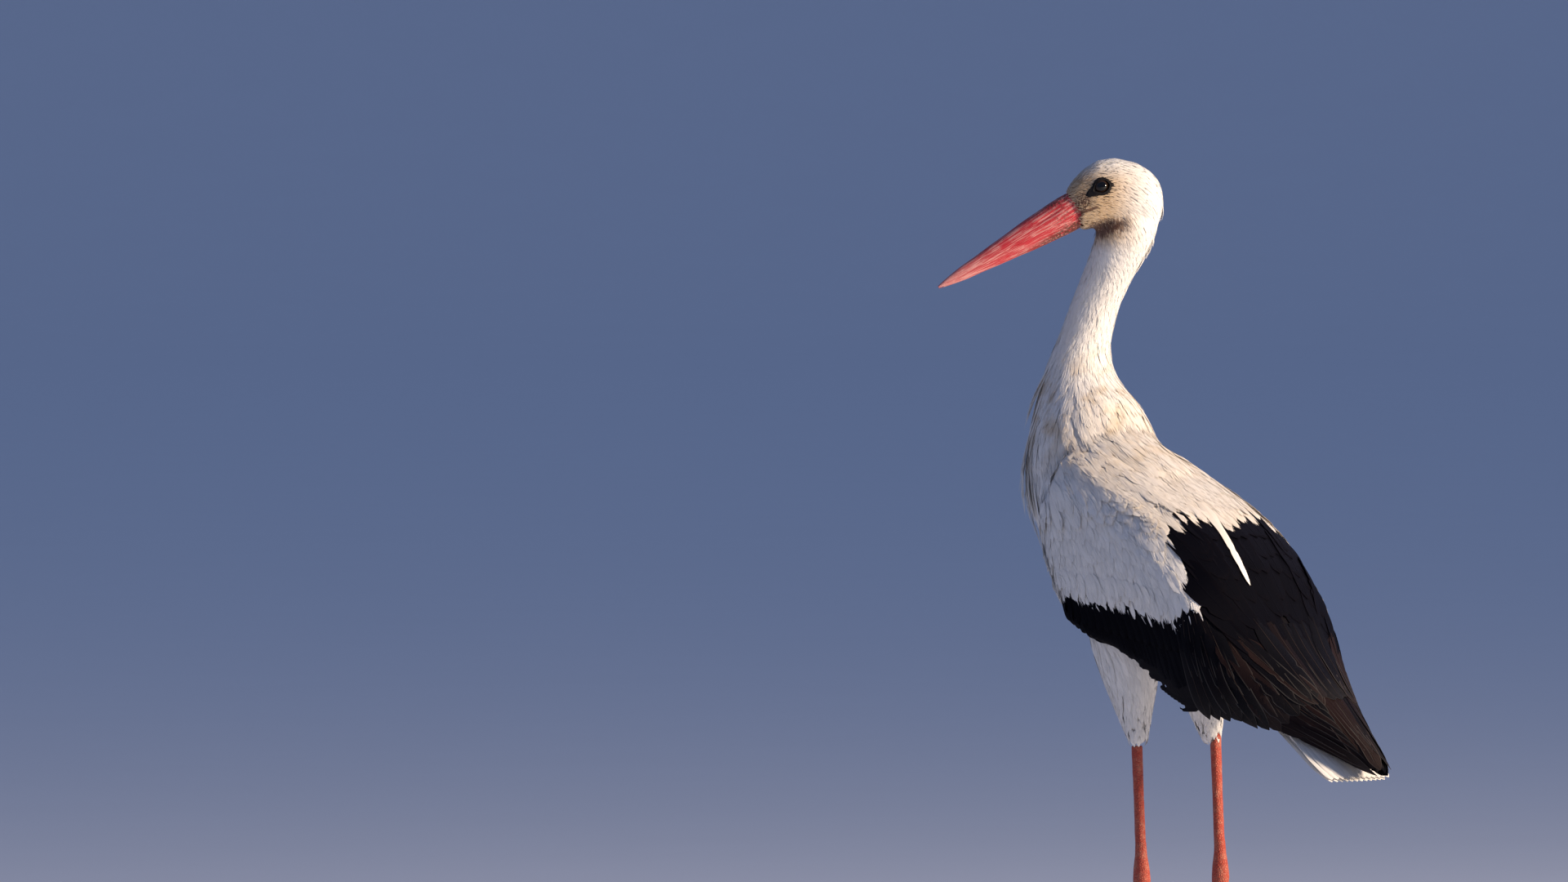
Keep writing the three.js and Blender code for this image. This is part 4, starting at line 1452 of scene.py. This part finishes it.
class STORK_OT_shield(bpy.types.Operator):
    """Lay the white coverts over the shoulders"""

    bl_idname = "stork.shield"
    bl_label = "Wing coverts"

    def execute(self, context):
        form, seed = body_form(), plumage().seed
        roots = spread_over(("wing_left_coverts", "wing_right_coverts"), 6.6, seed + 8)
        far = ease(-60, 120, body_coordinates(roots)[1])
        length = 25 + 9 * far
        reach = lie(roots) * (length * MM)[:, None]
        under = tuple(f"wing_{side}_{tract}" for side, _ in SIDES for tract in ("scapulars", "tertials"))
        across = unit(np.cross(form.under(roots)[1], reach)) * 4.5 * MM
        tucked = np.zeros(len(roots), bool)
        for share in (0.15, 0.6, 1.05):
            for step in (-1, 0, 1):
                tucked |= regions().among(roots + reach * share + across * step, *under)
        roots, far, length = roots[~tucked], far[~tucked], length[~tucked]
        rng = np.random.default_rng(seed + 26)
        count = 84
        heels = along_line(SHIELD_EDGE, np.sort(rng.uniform(0.0, 1.0, count)))
        heels += np.stack([rng.normal(-6, 2, count), rng.uniform(12, 22, count)], -1)
        rim = form.over(both_sides(beside(heels)))[0]
        soft_coat(
            "shield_rim_feathers", form, rim, seed + 27, rng.uniform(20, 30, 2 * count), 5.6, -0.3,
            rng.uniform(1.3, 1.9, 2 * count), 5, rounded, 9, slim=0.12, spread=0.10,
        )
        soft_coat(
            "covert_feathers", form, roots, seed + 9, length, 6.0 + 1.2 * far, 0.9, 0.1, 5, rounded, 9,
            slim=0.13, spread=0.06, stray=0.05, sway=0.08, body=1.05,
        )
        return {"FINISHED"}


# ---- large feathers ----
def long_vane(t, tip):
    """Half width of a long feather: narrow at the root, even, then round or pointed past the tip's share."""
    rise = 0.45 + 0.55 * ease(0.0, 0.25, t)
    fall = np.sqrt(np.clip(1 - ((t - tip) / (1 - tip)).clip(0, 1) ** 2.2, 0.0, 1))
    return rise * np.maximum(fall, 0.06)


def lay_vanes(
    plumes, starts, ends, half, lift, seed, rows=22, tip=0.72, thick=0.45, lean=0.0, waist=1.0, crown=0.25
):
    """Long feathers over the wing from start to end, with half widths and heights in millimetres.

    The far half is waist times as wide as the near one. A tenth of the rows are nicked."""
    rng = np.random.default_rng(seed)
    count = len(starts)
    paths, normals = drape(body_form(), starts, ends, rows)
    t = np.linspace(0, 1, rows)
    half = np.broadcast_to(half, count)
    low, high = lift
    height = low + (high - low) * t[None] + rng.random((count, 1)) * 0.25
    widths = half[:, None] * (long_vane(t, tip) * (1 - (1 - waist) * ease(0.1, 0.5, t)))[None] * MM
    notch = rng.random((count, rows)) < 0.10
    widths = widths * (1 - notch * rng.random((count, rows)) * 0.24)
    thickness = np.full((count, rows), thick * MM) * (1.2 - 0.6 * t)[None]
    paths = paths + normals * (height * MM)[..., None]
    plumes.add(paths, normals, widths, thickness, STIFF_RING, 0.05, rng.random(count), crown, lean)


def lay_pairs(plumes, starts, ends, *sizes, **looks):
    """The same long feathers over both wings, from places given in millimetres from the feet."""
    lay_vanes(plumes, both_sides(starts), both_sides(ends), *sizes, **looks)


def both_sides(points):
    """The same places on the left and right."""
    points = np.array(points, float)
    return to_world(np.concatenate([points, points * (-1, 1, 1)]))


def to_world(points):
    """Places given in millimetres from the feet."""
    return np.array(points, float) * MM + np.array(FEET)


def along_line(line, shares):
    """Places at some shares of the length of a line of points."""
    line = np.array(line, float)
    reach = np.concatenate([[0], np.cumsum(np.linalg.norm(np.diff(line, axis=0), axis=1))])
    shares = np.array(shares) * reach[-1]
    return np.stack([np.interp(shares, reach, line[:, k]) for k in range(line.shape[1])], -1)


# side-view lines on the folded wing: back from the feet and height
SHIELD_EDGE = ((-120, 561), (-69, 556), (-8, 552), (47, 549), (74, 541), (114, 539), (141, 539))
COVERT_EDGE = ((-122, 536), (-58, 528), (2, 516), (52, 506), (112, 497), (158, 498))


def beside(places):
    """Places on the outer side of the left wing at some distances back and heights, in millimetres."""
    tree = body_form().tree
    found = []
    for y, z in places:
        hit = tree.ray_cast(at(200, y, z), Vector((-1, 0, 0)), 0.2)[0]
        found.append(None if hit is None else (hit.x - FEET.x) / MM)
    known = [x for x in found if x is not None]
    near = [known[0] if x is None and i == 0 else x for i, x in enumerate(found)]
    for i in range(1, len(near)):
        near[i] = near[i - 1] if near[i] is None else near[i]
    return np.array([(x, y, z) for x, (y, z) in zip(near, places)])


# how far back the white of the mantle reaches, by the distance from the midline
MANTLE_EDGE = ((0, 112), (6, 108), (14, 97), (30, 87), (48, 76), (60, 62), (64, 40), (65, 0))


class STORK_OT_scapulars(bpy.types.Operator):
    """Lay the black scapulars in rows over the back, with one white feather between them"""

    bl_idname = "stork.scapulars"
    bl_label = "Scapulars"

    def execute(self, context):
        starts, ends = [], []
        rows, number = 6, 5
        for row in range(rows):
            y = 58 + row * 17.5
            reach = np.interp(y, (60, 89, 106, 125, 145), (62, 67, 72, 76, 82))
            for k in range(number):
                share = (k + 0.5 * (row % 2) + 0.1) / (number - 0.5)
                x = 6 + (reach - 10) * share
                z = np.interp(y, (60, 147), (650, 560)) - x * 0.3
                length = 56 + 6 * share
                starts.append((x, y, z))
                ends.append((x * 0.93, y + length, z - length * 0.8))
        plumes = Plumes()
        rng = np.random.default_rng(30)
        starts, ends = np.array(starts), np.array(ends)
        shift = rng.normal(0, 2.2, starts.shape) * (1, 1, 0)
        shift[:number] = 0
        starts, ends = starts + shift, ends + shift + rng.normal(0, 2.0, ends.shape) * (1, 1, 0)
        half = np.tile(14.0 + rng.normal(0, 1.0, len(starts)), 2)
        lay_pairs(plumes, starts, ends, half, (-1.3, 1.0), 31, rows=16, tip=0.5, thick=0.25, crown=0.05)
        plumes.piece("scapular_feathers", black_finish())

        form, seed = body_form(), plumage().seed

        def edge(points):
            x, y, z = body_coordinates(points)
            rim = np.interp(np.abs(x), *zip(*MANTLE_EDGE)) - 25
            return (y > 18) & (y < rim) & (z > 600 - 0.5 * (y - 40))

        roots = scatter(form, lambda points: np.full(len(points), 5.4 * MM), edge, seed + 24)
        x, y, _ = body_coordinates(roots)
        close = ease(-30, -8, y - np.interp(np.abs(x), *zip(*MANTLE_EDGE)) + 12)
        rng = np.random.default_rng(seed + 28)
        soft_coat(
            "mantle_edge", form, roots, seed + 25, 27 + close * rng.normal(0, 4, len(roots)), 5.0,
            0.4 - close * 0.9, 0.5 + 1.3 * close, 5, rounded, 10, slim=0.12, spread=0.10, body=0.8,
        )
        plumes = Plumes()
        start, end = [(14, 60, 662)], [(25, 157, 557)]
        lay_vanes(plumes, to_world(start), to_world(end), 9.0, (0.9, 2.6), 32, rows=26, tip=0.62, waist=0.5)
        plumes.piece("white_back_feather", white_finish())
        return {"FINISHED"}


class STORK_OT_flight(bpy.types.Operator):
    """Lay the greater coverts, secondaries, tertials and primaries of the folded wings"""

    bl_idname = "stork.flight"
    bl_label = "Flight feathers"

    def execute(self, context):
        plumes = Plumes()
        self.row(plumes, self.lower_edge(), COVERT_EDGE, 30, 8.5, (0.36, -0.93), 20.0, (-0.6, 0.8), 41, 0.5)
        self.row(plumes, COVERT_EDGE, SHIELD_EDGE, 24, 8.0, (0.42, -0.91), 14.0, (-1.3, 1.1), 42, 4.0)
        plumes.piece("secondary_feathers", black_finish())

        plumes = Plumes()
        share = np.linspace(0, 1, 9)
        heels = np.stack([208 + 26 * share, 428 + 56 * share], -1)
        tips = np.stack([339 - 78 * share, 367 + 76 * share], -1)
        lay_pairs(plumes, beside(heels), beside(tips), 9.0, (0.1, 0.9), 43, lean=0.15)
        share = np.linspace(0, 1, 11)
        heels = np.stack([128 + 56 * share, 545 - 34 * share], -1)
        tips = along_line(((150, 423), (194, 416), (232, 412), (258, 432), (268, 452)), share)
        lay_pairs(plumes, beside(heels), beside(tips), 12.0, (0.4, 1.4), 44)
        roofs = [(6, 188, 520), (20, 185, 520), (36, 180, 520)]
        ends = [(5, 268, 446), (14, 264, 446), (26, 262, 446)]
        lay_pairs(plumes, roofs, ends, 12.0, (0.6, 1.5), 45)
        ridge = [(3, 252, 456), (20, 240, 458), (4, 225, 480), (12, 232, 470)]
        ends = [(3, 343, 367), (10, 336, 375), (2, 318, 402), (5, 328, 388)]
        lay_pairs(plumes, ridge, ends, 8.5, (0.4, 1.0), 46, tip=0.75)
        plumes.piece("tertial_feathers", brown_finish())
        return {"FINISHED"}

    def lower_edge(self):
        """The lower rim of the folded left wing, as distances back and heights in millimetres."""
        tracts = ("wing_left_secondaries", "wing_left_greater_coverts", "wing_left_tertials")
        wing = remeshed(tracts, 2.0 * MM, 6)
        _, back, height = body_coordinates(points_of(wing))
        along = np.arange(back.min() + 4, min(back.max() - 4, 172), 10)
        low = [height[np.abs(back - place) < 5].min() for place in along]
        return tuple(zip(along, low))

    def row(self, plumes, edge, above, count, half, way, cover, lift, seed, beyond):
        """A row of feathers with their tips along an edge, reaching up past the line above it."""
        tips = along_line(edge, np.linspace(0.01, 0.995, count))
        line = tuple(zip(*above))
        heels = []
        for y, z in tips:
            reach = max(np.interp(y - 12, *line) - z + cover, 24.0) / -way[1]
            heels.append((max(y - way[0] * reach, -117), z - way[1] * reach))
        tips = tips + np.array(way) * beyond
        lay_pairs(plumes, beside(heels), beside(tips), half, lift, seed, rows=16)


class STORK_OT_tail(bpy.types.Operator):
    """Lay the twelve white tail feathers"""

    bl_idname = "stork.tail"
    bl_label = "Tail"

    def execute(self, context):
        form = Form(remeshed(("tail",), 1.6 * MM, 6))
        plumes = Plumes()
        count, rows = 12, 36
        for face in (1, -1):
            x = np.linspace(-1, 1, count)
            inward = 1.5 - 1.5 * face
            starts = np.array([tuple(at(a * 20, 180, 438 + face * 12)) for a in x])
            ends = np.array([
                tuple(at(a * (41 - inward), 304 - inward + 3 * (1 - a * a), 361 + face)) for a in x
            ])
            paths, normals = [], []
            for share in np.linspace(0, 1, rows):
                level = starts * (1 - share) + ends * share
                place, _ = form.under(level + np.array((0, 0, face * 4 * MM)))
                loose = ease(0.72, 0.94, share)
                paths.append(place * (1 - loose) + level * loose)
                normals.append(np.tile((0.0, 0.55 * face, 0.83 * face), (count, 1)))
            paths, normals = np.stack(paths, 1), np.stack(normals, 1)
            t = np.linspace(0, 1, rows)
            rise = 0.4 + 0.5 * (1 - np.abs(x))[:, None] * np.ones(rows)
            paths += normals * (rise * MM)[..., None]
            widths = np.tile(long_vane(t, 0.84) * (8.0 + 0.4 * face) * MM, (count, 1))
            thickness = np.full((count, rows), 0.4 * MM)
            plumes.add(paths, normals, widths, thickness, STIFF_RING, 0.04, np.linspace(0, 1, count), 0.5)
        plumes.piece("tail_feathers", white_finish())
        return {"FINISHED"}


# ---- bill, eyes and claws ----
# along the bill: the share of its length, then of its half depth and half width
BILL_ROWS = (
    (-0.12, 1.0, 1.04), (0.0, 1.02, 1.0), (0.16, 0.93, 0.88), (0.29, 0.84, 0.77), (0.42, 0.71, 0.66),
    (0.55, 0.6, 0.55), (0.68, 0.47, 0.44), (0.805, 0.37, 0.33), (0.93, 0.19, 0.19), (1.0, 0.05, 0.06),
)
BILL_LENGTH, BILL_DEPTH, BILL_WIDTH = 158.0, 19.2, 13.5
BILL_PARTING = -2.3  # the height of the line between the two halves


def bill_grid(upper, rows=150, columns=48):
    """One half of the bill as a grid of points, its flat side towards the parting."""
    base = np.array(in_head(*BILL_ROOT))
    shares = rows_at(BILL_ROWS, np.linspace(0, 1, rows))
    grid = []
    for share, depth, width in shares:
        depth, width = depth * BILL_DEPTH, width * BILL_WIDTH
        parting = max(BILL_PARTING, -depth * 0.9) if upper else min(BILL_PARTING, -depth * 0.1)
        start = math.asin(np.clip(parting / depth, -1, 1))
        ends = (start, math.pi - start) if upper else (math.pi - start, math.tau + start)
        turn = np.linspace(*ends, columns)
        x = np.sign(np.cos(turn)) * np.abs(np.cos(turn)) ** 0.92 * width
        z = np.sin(turn) * depth
        if upper:
            ridge = np.exp(-((turn - math.pi / 2) / 0.16) ** 2)
            z = z + ridge * 0.4
            groove = np.exp(-((z / depth - 0.42) / 0.10) ** 2)
            groove = groove * ease(0.0, 0.06, share) * ease(0.24, 0.15, share)
            x = x * (1 - 0.10 * groove)
        else:
            x = x * 0.975
            keel = np.exp(-((turn - math.pi * 1.5) / 0.3) ** 2)
            z = z - keel * 0.3
        ring = (
            base
            + np.outer(np.full(columns, share * BILL_LENGTH), np.array(BILL_AXIS)) * MM
            + np.outer(x, np.array(HEAD_LEFT)) * MM
            + np.outer(z, np.array(BILL_UP)) * MM
        )
        inner = np.linspace(ring[-1], ring[0], 6)[1:-1] + np.array(BILL_UP) * (0.35 if upper else -0.35) * MM
        grid.append(np.concatenate([ring, inner]))
    return np.array(grid)


class STORK_OT_bill(bpy.types.Operator):
    """Make the two halves of the bill"""

    bl_idname = "stork.bill"
    bl_label = "Bill"

    def execute(self, context):
        for name, upper in (("bill_top", True), ("bill_bottom", False)):
            piece = place_piece(name, shell(name, bill_grid(upper), capped=True), bill_finish())
            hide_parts("bill_upper" if upper else "bill_lower")
        return {"FINISHED"}


EYE_SEAT = 18.0  # how far the middle of each eyeball is from the middle of the skull, in millimetres


class STORK_OT_eyes(bpy.types.Operator):
    """Set the eyes, with their corneas, in rings of bare black skin"""

    bl_idname = "stork.eyes"
    bl_label = "Eyes"

    def execute(self, context):
        for side, sign in SIDES:
            self.ball(side, sign)
            self.lids(side, sign)
        return {"FINISHED"}

    def ball(self, side, sign):
        centre = np.array(in_head(EYE_FORWARD, EYE_UP, EYE_SEAT * sign))
        radius = eye().radius
        polar = np.linspace(0.02, math.pi - 0.02, 40)
        turn = np.linspace(0, math.tau, 48, endpoint=False)
        bulge = 1 + 0.045 * np.exp(-((polar / 0.55) ** 4))  # the cornea
        out = np.outer(np.cos(polar) * bulge * radius, np.ones(len(turn)))[..., None]
        out = out * np.array(HEAD_LEFT) * sign
        flat = np.outer(np.sin(polar) * bulge * radius, np.cos(turn))[..., None] * np.array(HEAD_FORWARD)
        rise = np.outer(np.sin(polar) * bulge * radius, np.sin(turn))[..., None] * np.array(UP)
        grid = centre + out + flat + rise
        mesh = shell("eyeball_" + side, grid[:, ::sign], capped=True)
        ball = place_piece("eyeball_" + side, mesh, eye_finish())
        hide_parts("eye_" + side)

    def lids(self, side, sign):
        form = body_form()
        columns, rows = 96, 18
        turn = np.linspace(0, math.tau, columns, endpoint=False)
        opening = 6.5 + 1.3 * np.cos(turn + 0.4) ** 2
        reach = patch_outline(turn) + 0.9
        grid = []
        for s in np.linspace(0, 1, rows):
            away = opening + (reach - opening) * s
            forward, up = EYE_FORWARD + away * np.cos(turn), EYE_UP + away * np.sin(turn)
            ring = []
            for k in range(columns):
                start = in_head(forward[k], up[k], 45 * sign)
                hit = form.tree.ray_cast(start, -HEAD_LEFT * sign, 0.06)[0]
                surface = (hit - SKULL).dot(HEAD_LEFT) * sign / MM
                globe = EYE_SEAT + math.sqrt(max((eye().radius / MM) ** 2 - away[k] ** 2, 0.0))
                rim = math.exp(-(((s - 0.16) / 0.14) ** 2)) * 0.55
                folds = 0.10 * math.sin(s * 30 + math.sin(turn[k] * 7) * 0.8)
                folds = folds * ease(0.2, 0.5, s) * ease(1, 0.8, s)
                level = globe + 0.15 + (surface - globe + 0.1) * ease(0.0, 0.22, s)
                level = level + rim + folds - 0.9 * ease(0.75, 1, s)
                ring.append(tuple(in_head(forward[k], up[k], level * sign)))
            grid.append(ring)
        grid = np.array(grid)
        mesh = shell("eyelid_" + side, grid[:, ::-sign])
        lid = place_piece("eyelid_" + side, mesh, lid_finish())
        thicken = lid.modifiers.new("thicken", "SOLIDIFY")
        thicken.thickness = 0.5 * MM
        thicken.offset = -1.0


def dress(node, material):
    """Gives a node that stays its finish."""
    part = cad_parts[node]
    for slot in part.material_slots:
        slot.material = material
    if not part.material_slots:
        part.data.materials.append(material)


class STORK_OT_claws(bpy.types.Operator):
    """Finish the claws, and make the beds that the flight and tail feathers lie on"""

    bl_idname = "stork.claws"
    bl_label = "Claws and feather beds"

    def execute(self, context):
        for side, _ in SIDES:
            for toe in TOES:
                dress(f"claw_{side}_{toe}", claw_finish())
        for name, nodes, material, slot in (
            ("wing_bed", DARK_NODES, wing_bed_finish(), "flight_feathers"),
            ("tail_bed", ("tail",), tail_bed_finish(), "white_plumage"),
        ):
            mesh = remeshed(nodes, 2.4 * MM, 4, inset=1.4 * MM)
            mesh.shade_smooth()
            bed = place_piece(name, mesh, material)
            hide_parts(*nodes)
        return {"FINISHED"}


# ---- stage ----
FILM_WIDTH = 36.0  # in millimetres, like the length of the lens


class STORK_OT_stage(bpy.types.Operator):
    """Set the floor, the soft lights and the camera"""

    bl_idname = "stork.stage"
    bl_label = "Stage"

    def execute(self, context):
        stage = context.scene.stork_stage
        right = Vector((math.cos(stage.azimuth), math.sin(stage.azimuth), 0.0))
        rise = stage.elevation
        near = math.cos(rise)
        back = Vector((math.sin(stage.azimuth) * near, -math.cos(stage.azimuth) * near, math.sin(rise)))
        # the bird stands to the right of the middle of the picture
        aim = FEET - Vector((0, 38 * MM, 0)) - right * 0.3938 + UP * 0.715
        data = bpy.data.cameras.new("camera")
        data.lens = stage.lens
        data.sensor_width = FILM_WIDTH
        distance = stage.width * stage.lens / FILM_WIDTH
        data.clip_start, data.clip_end = 0.5, 400.0
        camera = bpy.data.objects.new("camera", data)
        camera.location = aim + back * distance
        camera.rotation_euler = (-back).to_track_quat("-Z", "Y").to_euler()
        context.collection.objects.link(camera)
        context.scene.camera = camera

        # a round floor that bends up into a wall, in metres
        turn = np.linspace(0, math.tau, 96, endpoint=False)
        bend = np.linspace(0, math.pi / 2, 20)
        flat, sweep = (0.0001, 10, 20, 30), 20
        reach = np.concatenate([flat, 40 + sweep * np.sin(bend)])
        rise = np.concatenate([np.zeros(len(flat)), sweep - sweep * np.cos(bend)])
        rings = reach[:, None, None] * np.stack([np.cos(turn), np.sin(turn), np.zeros(len(turn))], -1)
        floor = shell("floor", (rings + rise[:, None, None] * np.array(UP))[:, ::-1])
        floor.materials.append(floor_finish())
        ground = bpy.data.objects.new("floor", floor)
        ground.location.z = -0.2 * MM
        context.collection.objects.link(ground)

        toward = Vector((back.x, back.y, 0.0)).normalized()
        body = at(0, 0, 650)
        self.lamp("key", body, right * 5.5 + toward * 3.2 + UP * 1.6, 1.2, 768.0, (1.0, 0.80, 0.60))
        self.lamp("fill", body, right * -2.4 + toward * 1.8 + UP * 0.8, 2.6, 1.5, (0.36, 0.54, 1.0))
        self.lamp("rear", body, right * 1.6 + toward * -2.0 + UP * 1.8, 1.4, 10.0, (0.85, 0.75, 1.0))
        world = bpy.data.worlds.new("studio")
        world.use_nodes = True
        sky = world.node_tree.nodes["Background"].inputs
        sky["Color"].default_value = (0.42, 0.57, 1.0, 1.0)
        sky["Strength"].default_value = 0.30
        context.scene.world = world
        context.scene.view_settings.view_transform = "Standard"
        return {"FINISHED"}

    def lamp(self, name, subject, away, size, power, colour):
        data = bpy.data.lights.new(name, "AREA")
        data.shape = "DISK"
        data.size = size
        data.energy = power
        data.color = colour
        lamp = bpy.data.objects.new(name, data)
        lamp.location = subject + away
        lamp.rotation_euler = (-away).to_track_quat("-Z", "Y").to_euler()
        bpy.context.collection.objects.link(lamp)


class STORK_PT_panel(bpy.types.Panel):
    bl_label = "White stork"
    bl_idname = "STORK_PT_panel"
    bl_space_type = "VIEW_3D"
    bl_region_type = "UI"
    bl_category = "Stork"

    def draw(self, context):
        for group in (context.scene.stork_plumage, context.scene.stork_horn, context.scene.stork_eye):
            box = self.layout.box()
            for name in group.__annotations__:
                box.prop(group, name)
        for operator in OPERATORS:
            self.layout.operator(operator.bl_idname)
        for name in StorkStage.__annotations__:
            self.layout.prop(context.scene.stork_stage, name)


GROUPS = (
    ("stork_plumage", StorkPlumage),
    ("stork_horn", StorkHorn),
    ("stork_eye", StorkEye),
    ("stork_stage", StorkStage),
)
OPERATORS = (
    STORK_OT_skin,
    STORK_OT_face,
    STORK_OT_neck,
    STORK_OT_body,
    STORK_OT_shield,
    STORK_OT_scapulars,
    STORK_OT_flight,
    STORK_OT_tail,
    STORK_OT_bill,
    STORK_OT_eyes,
    STORK_OT_claws,
    STORK_OT_stage,
)


def register():
    for name, group in GROUPS:
        bpy.utils.register_class(group)
        setattr(bpy.types.Scene, name, PointerProperty(type=group))
    for operator in OPERATORS:
        bpy.utils.register_class(operator)
    bpy.utils.register_class(STORK_PT_panel)


def unregister():
    bpy.utils.unregister_class(STORK_PT_panel)
    for operator in reversed(OPERATORS):
        bpy.utils.unregister_class(operator)
    for name, group in reversed(GROUPS):
        delattr(bpy.types.Scene, name)
        bpy.utils.unregister_class(group)


def main():
    register()
    for operator in OPERATORS:
        _, name = operator.bl_idname.split(".")
        getattr(bpy.ops.stork, name)()


if __name__ == "__main__":
    main()
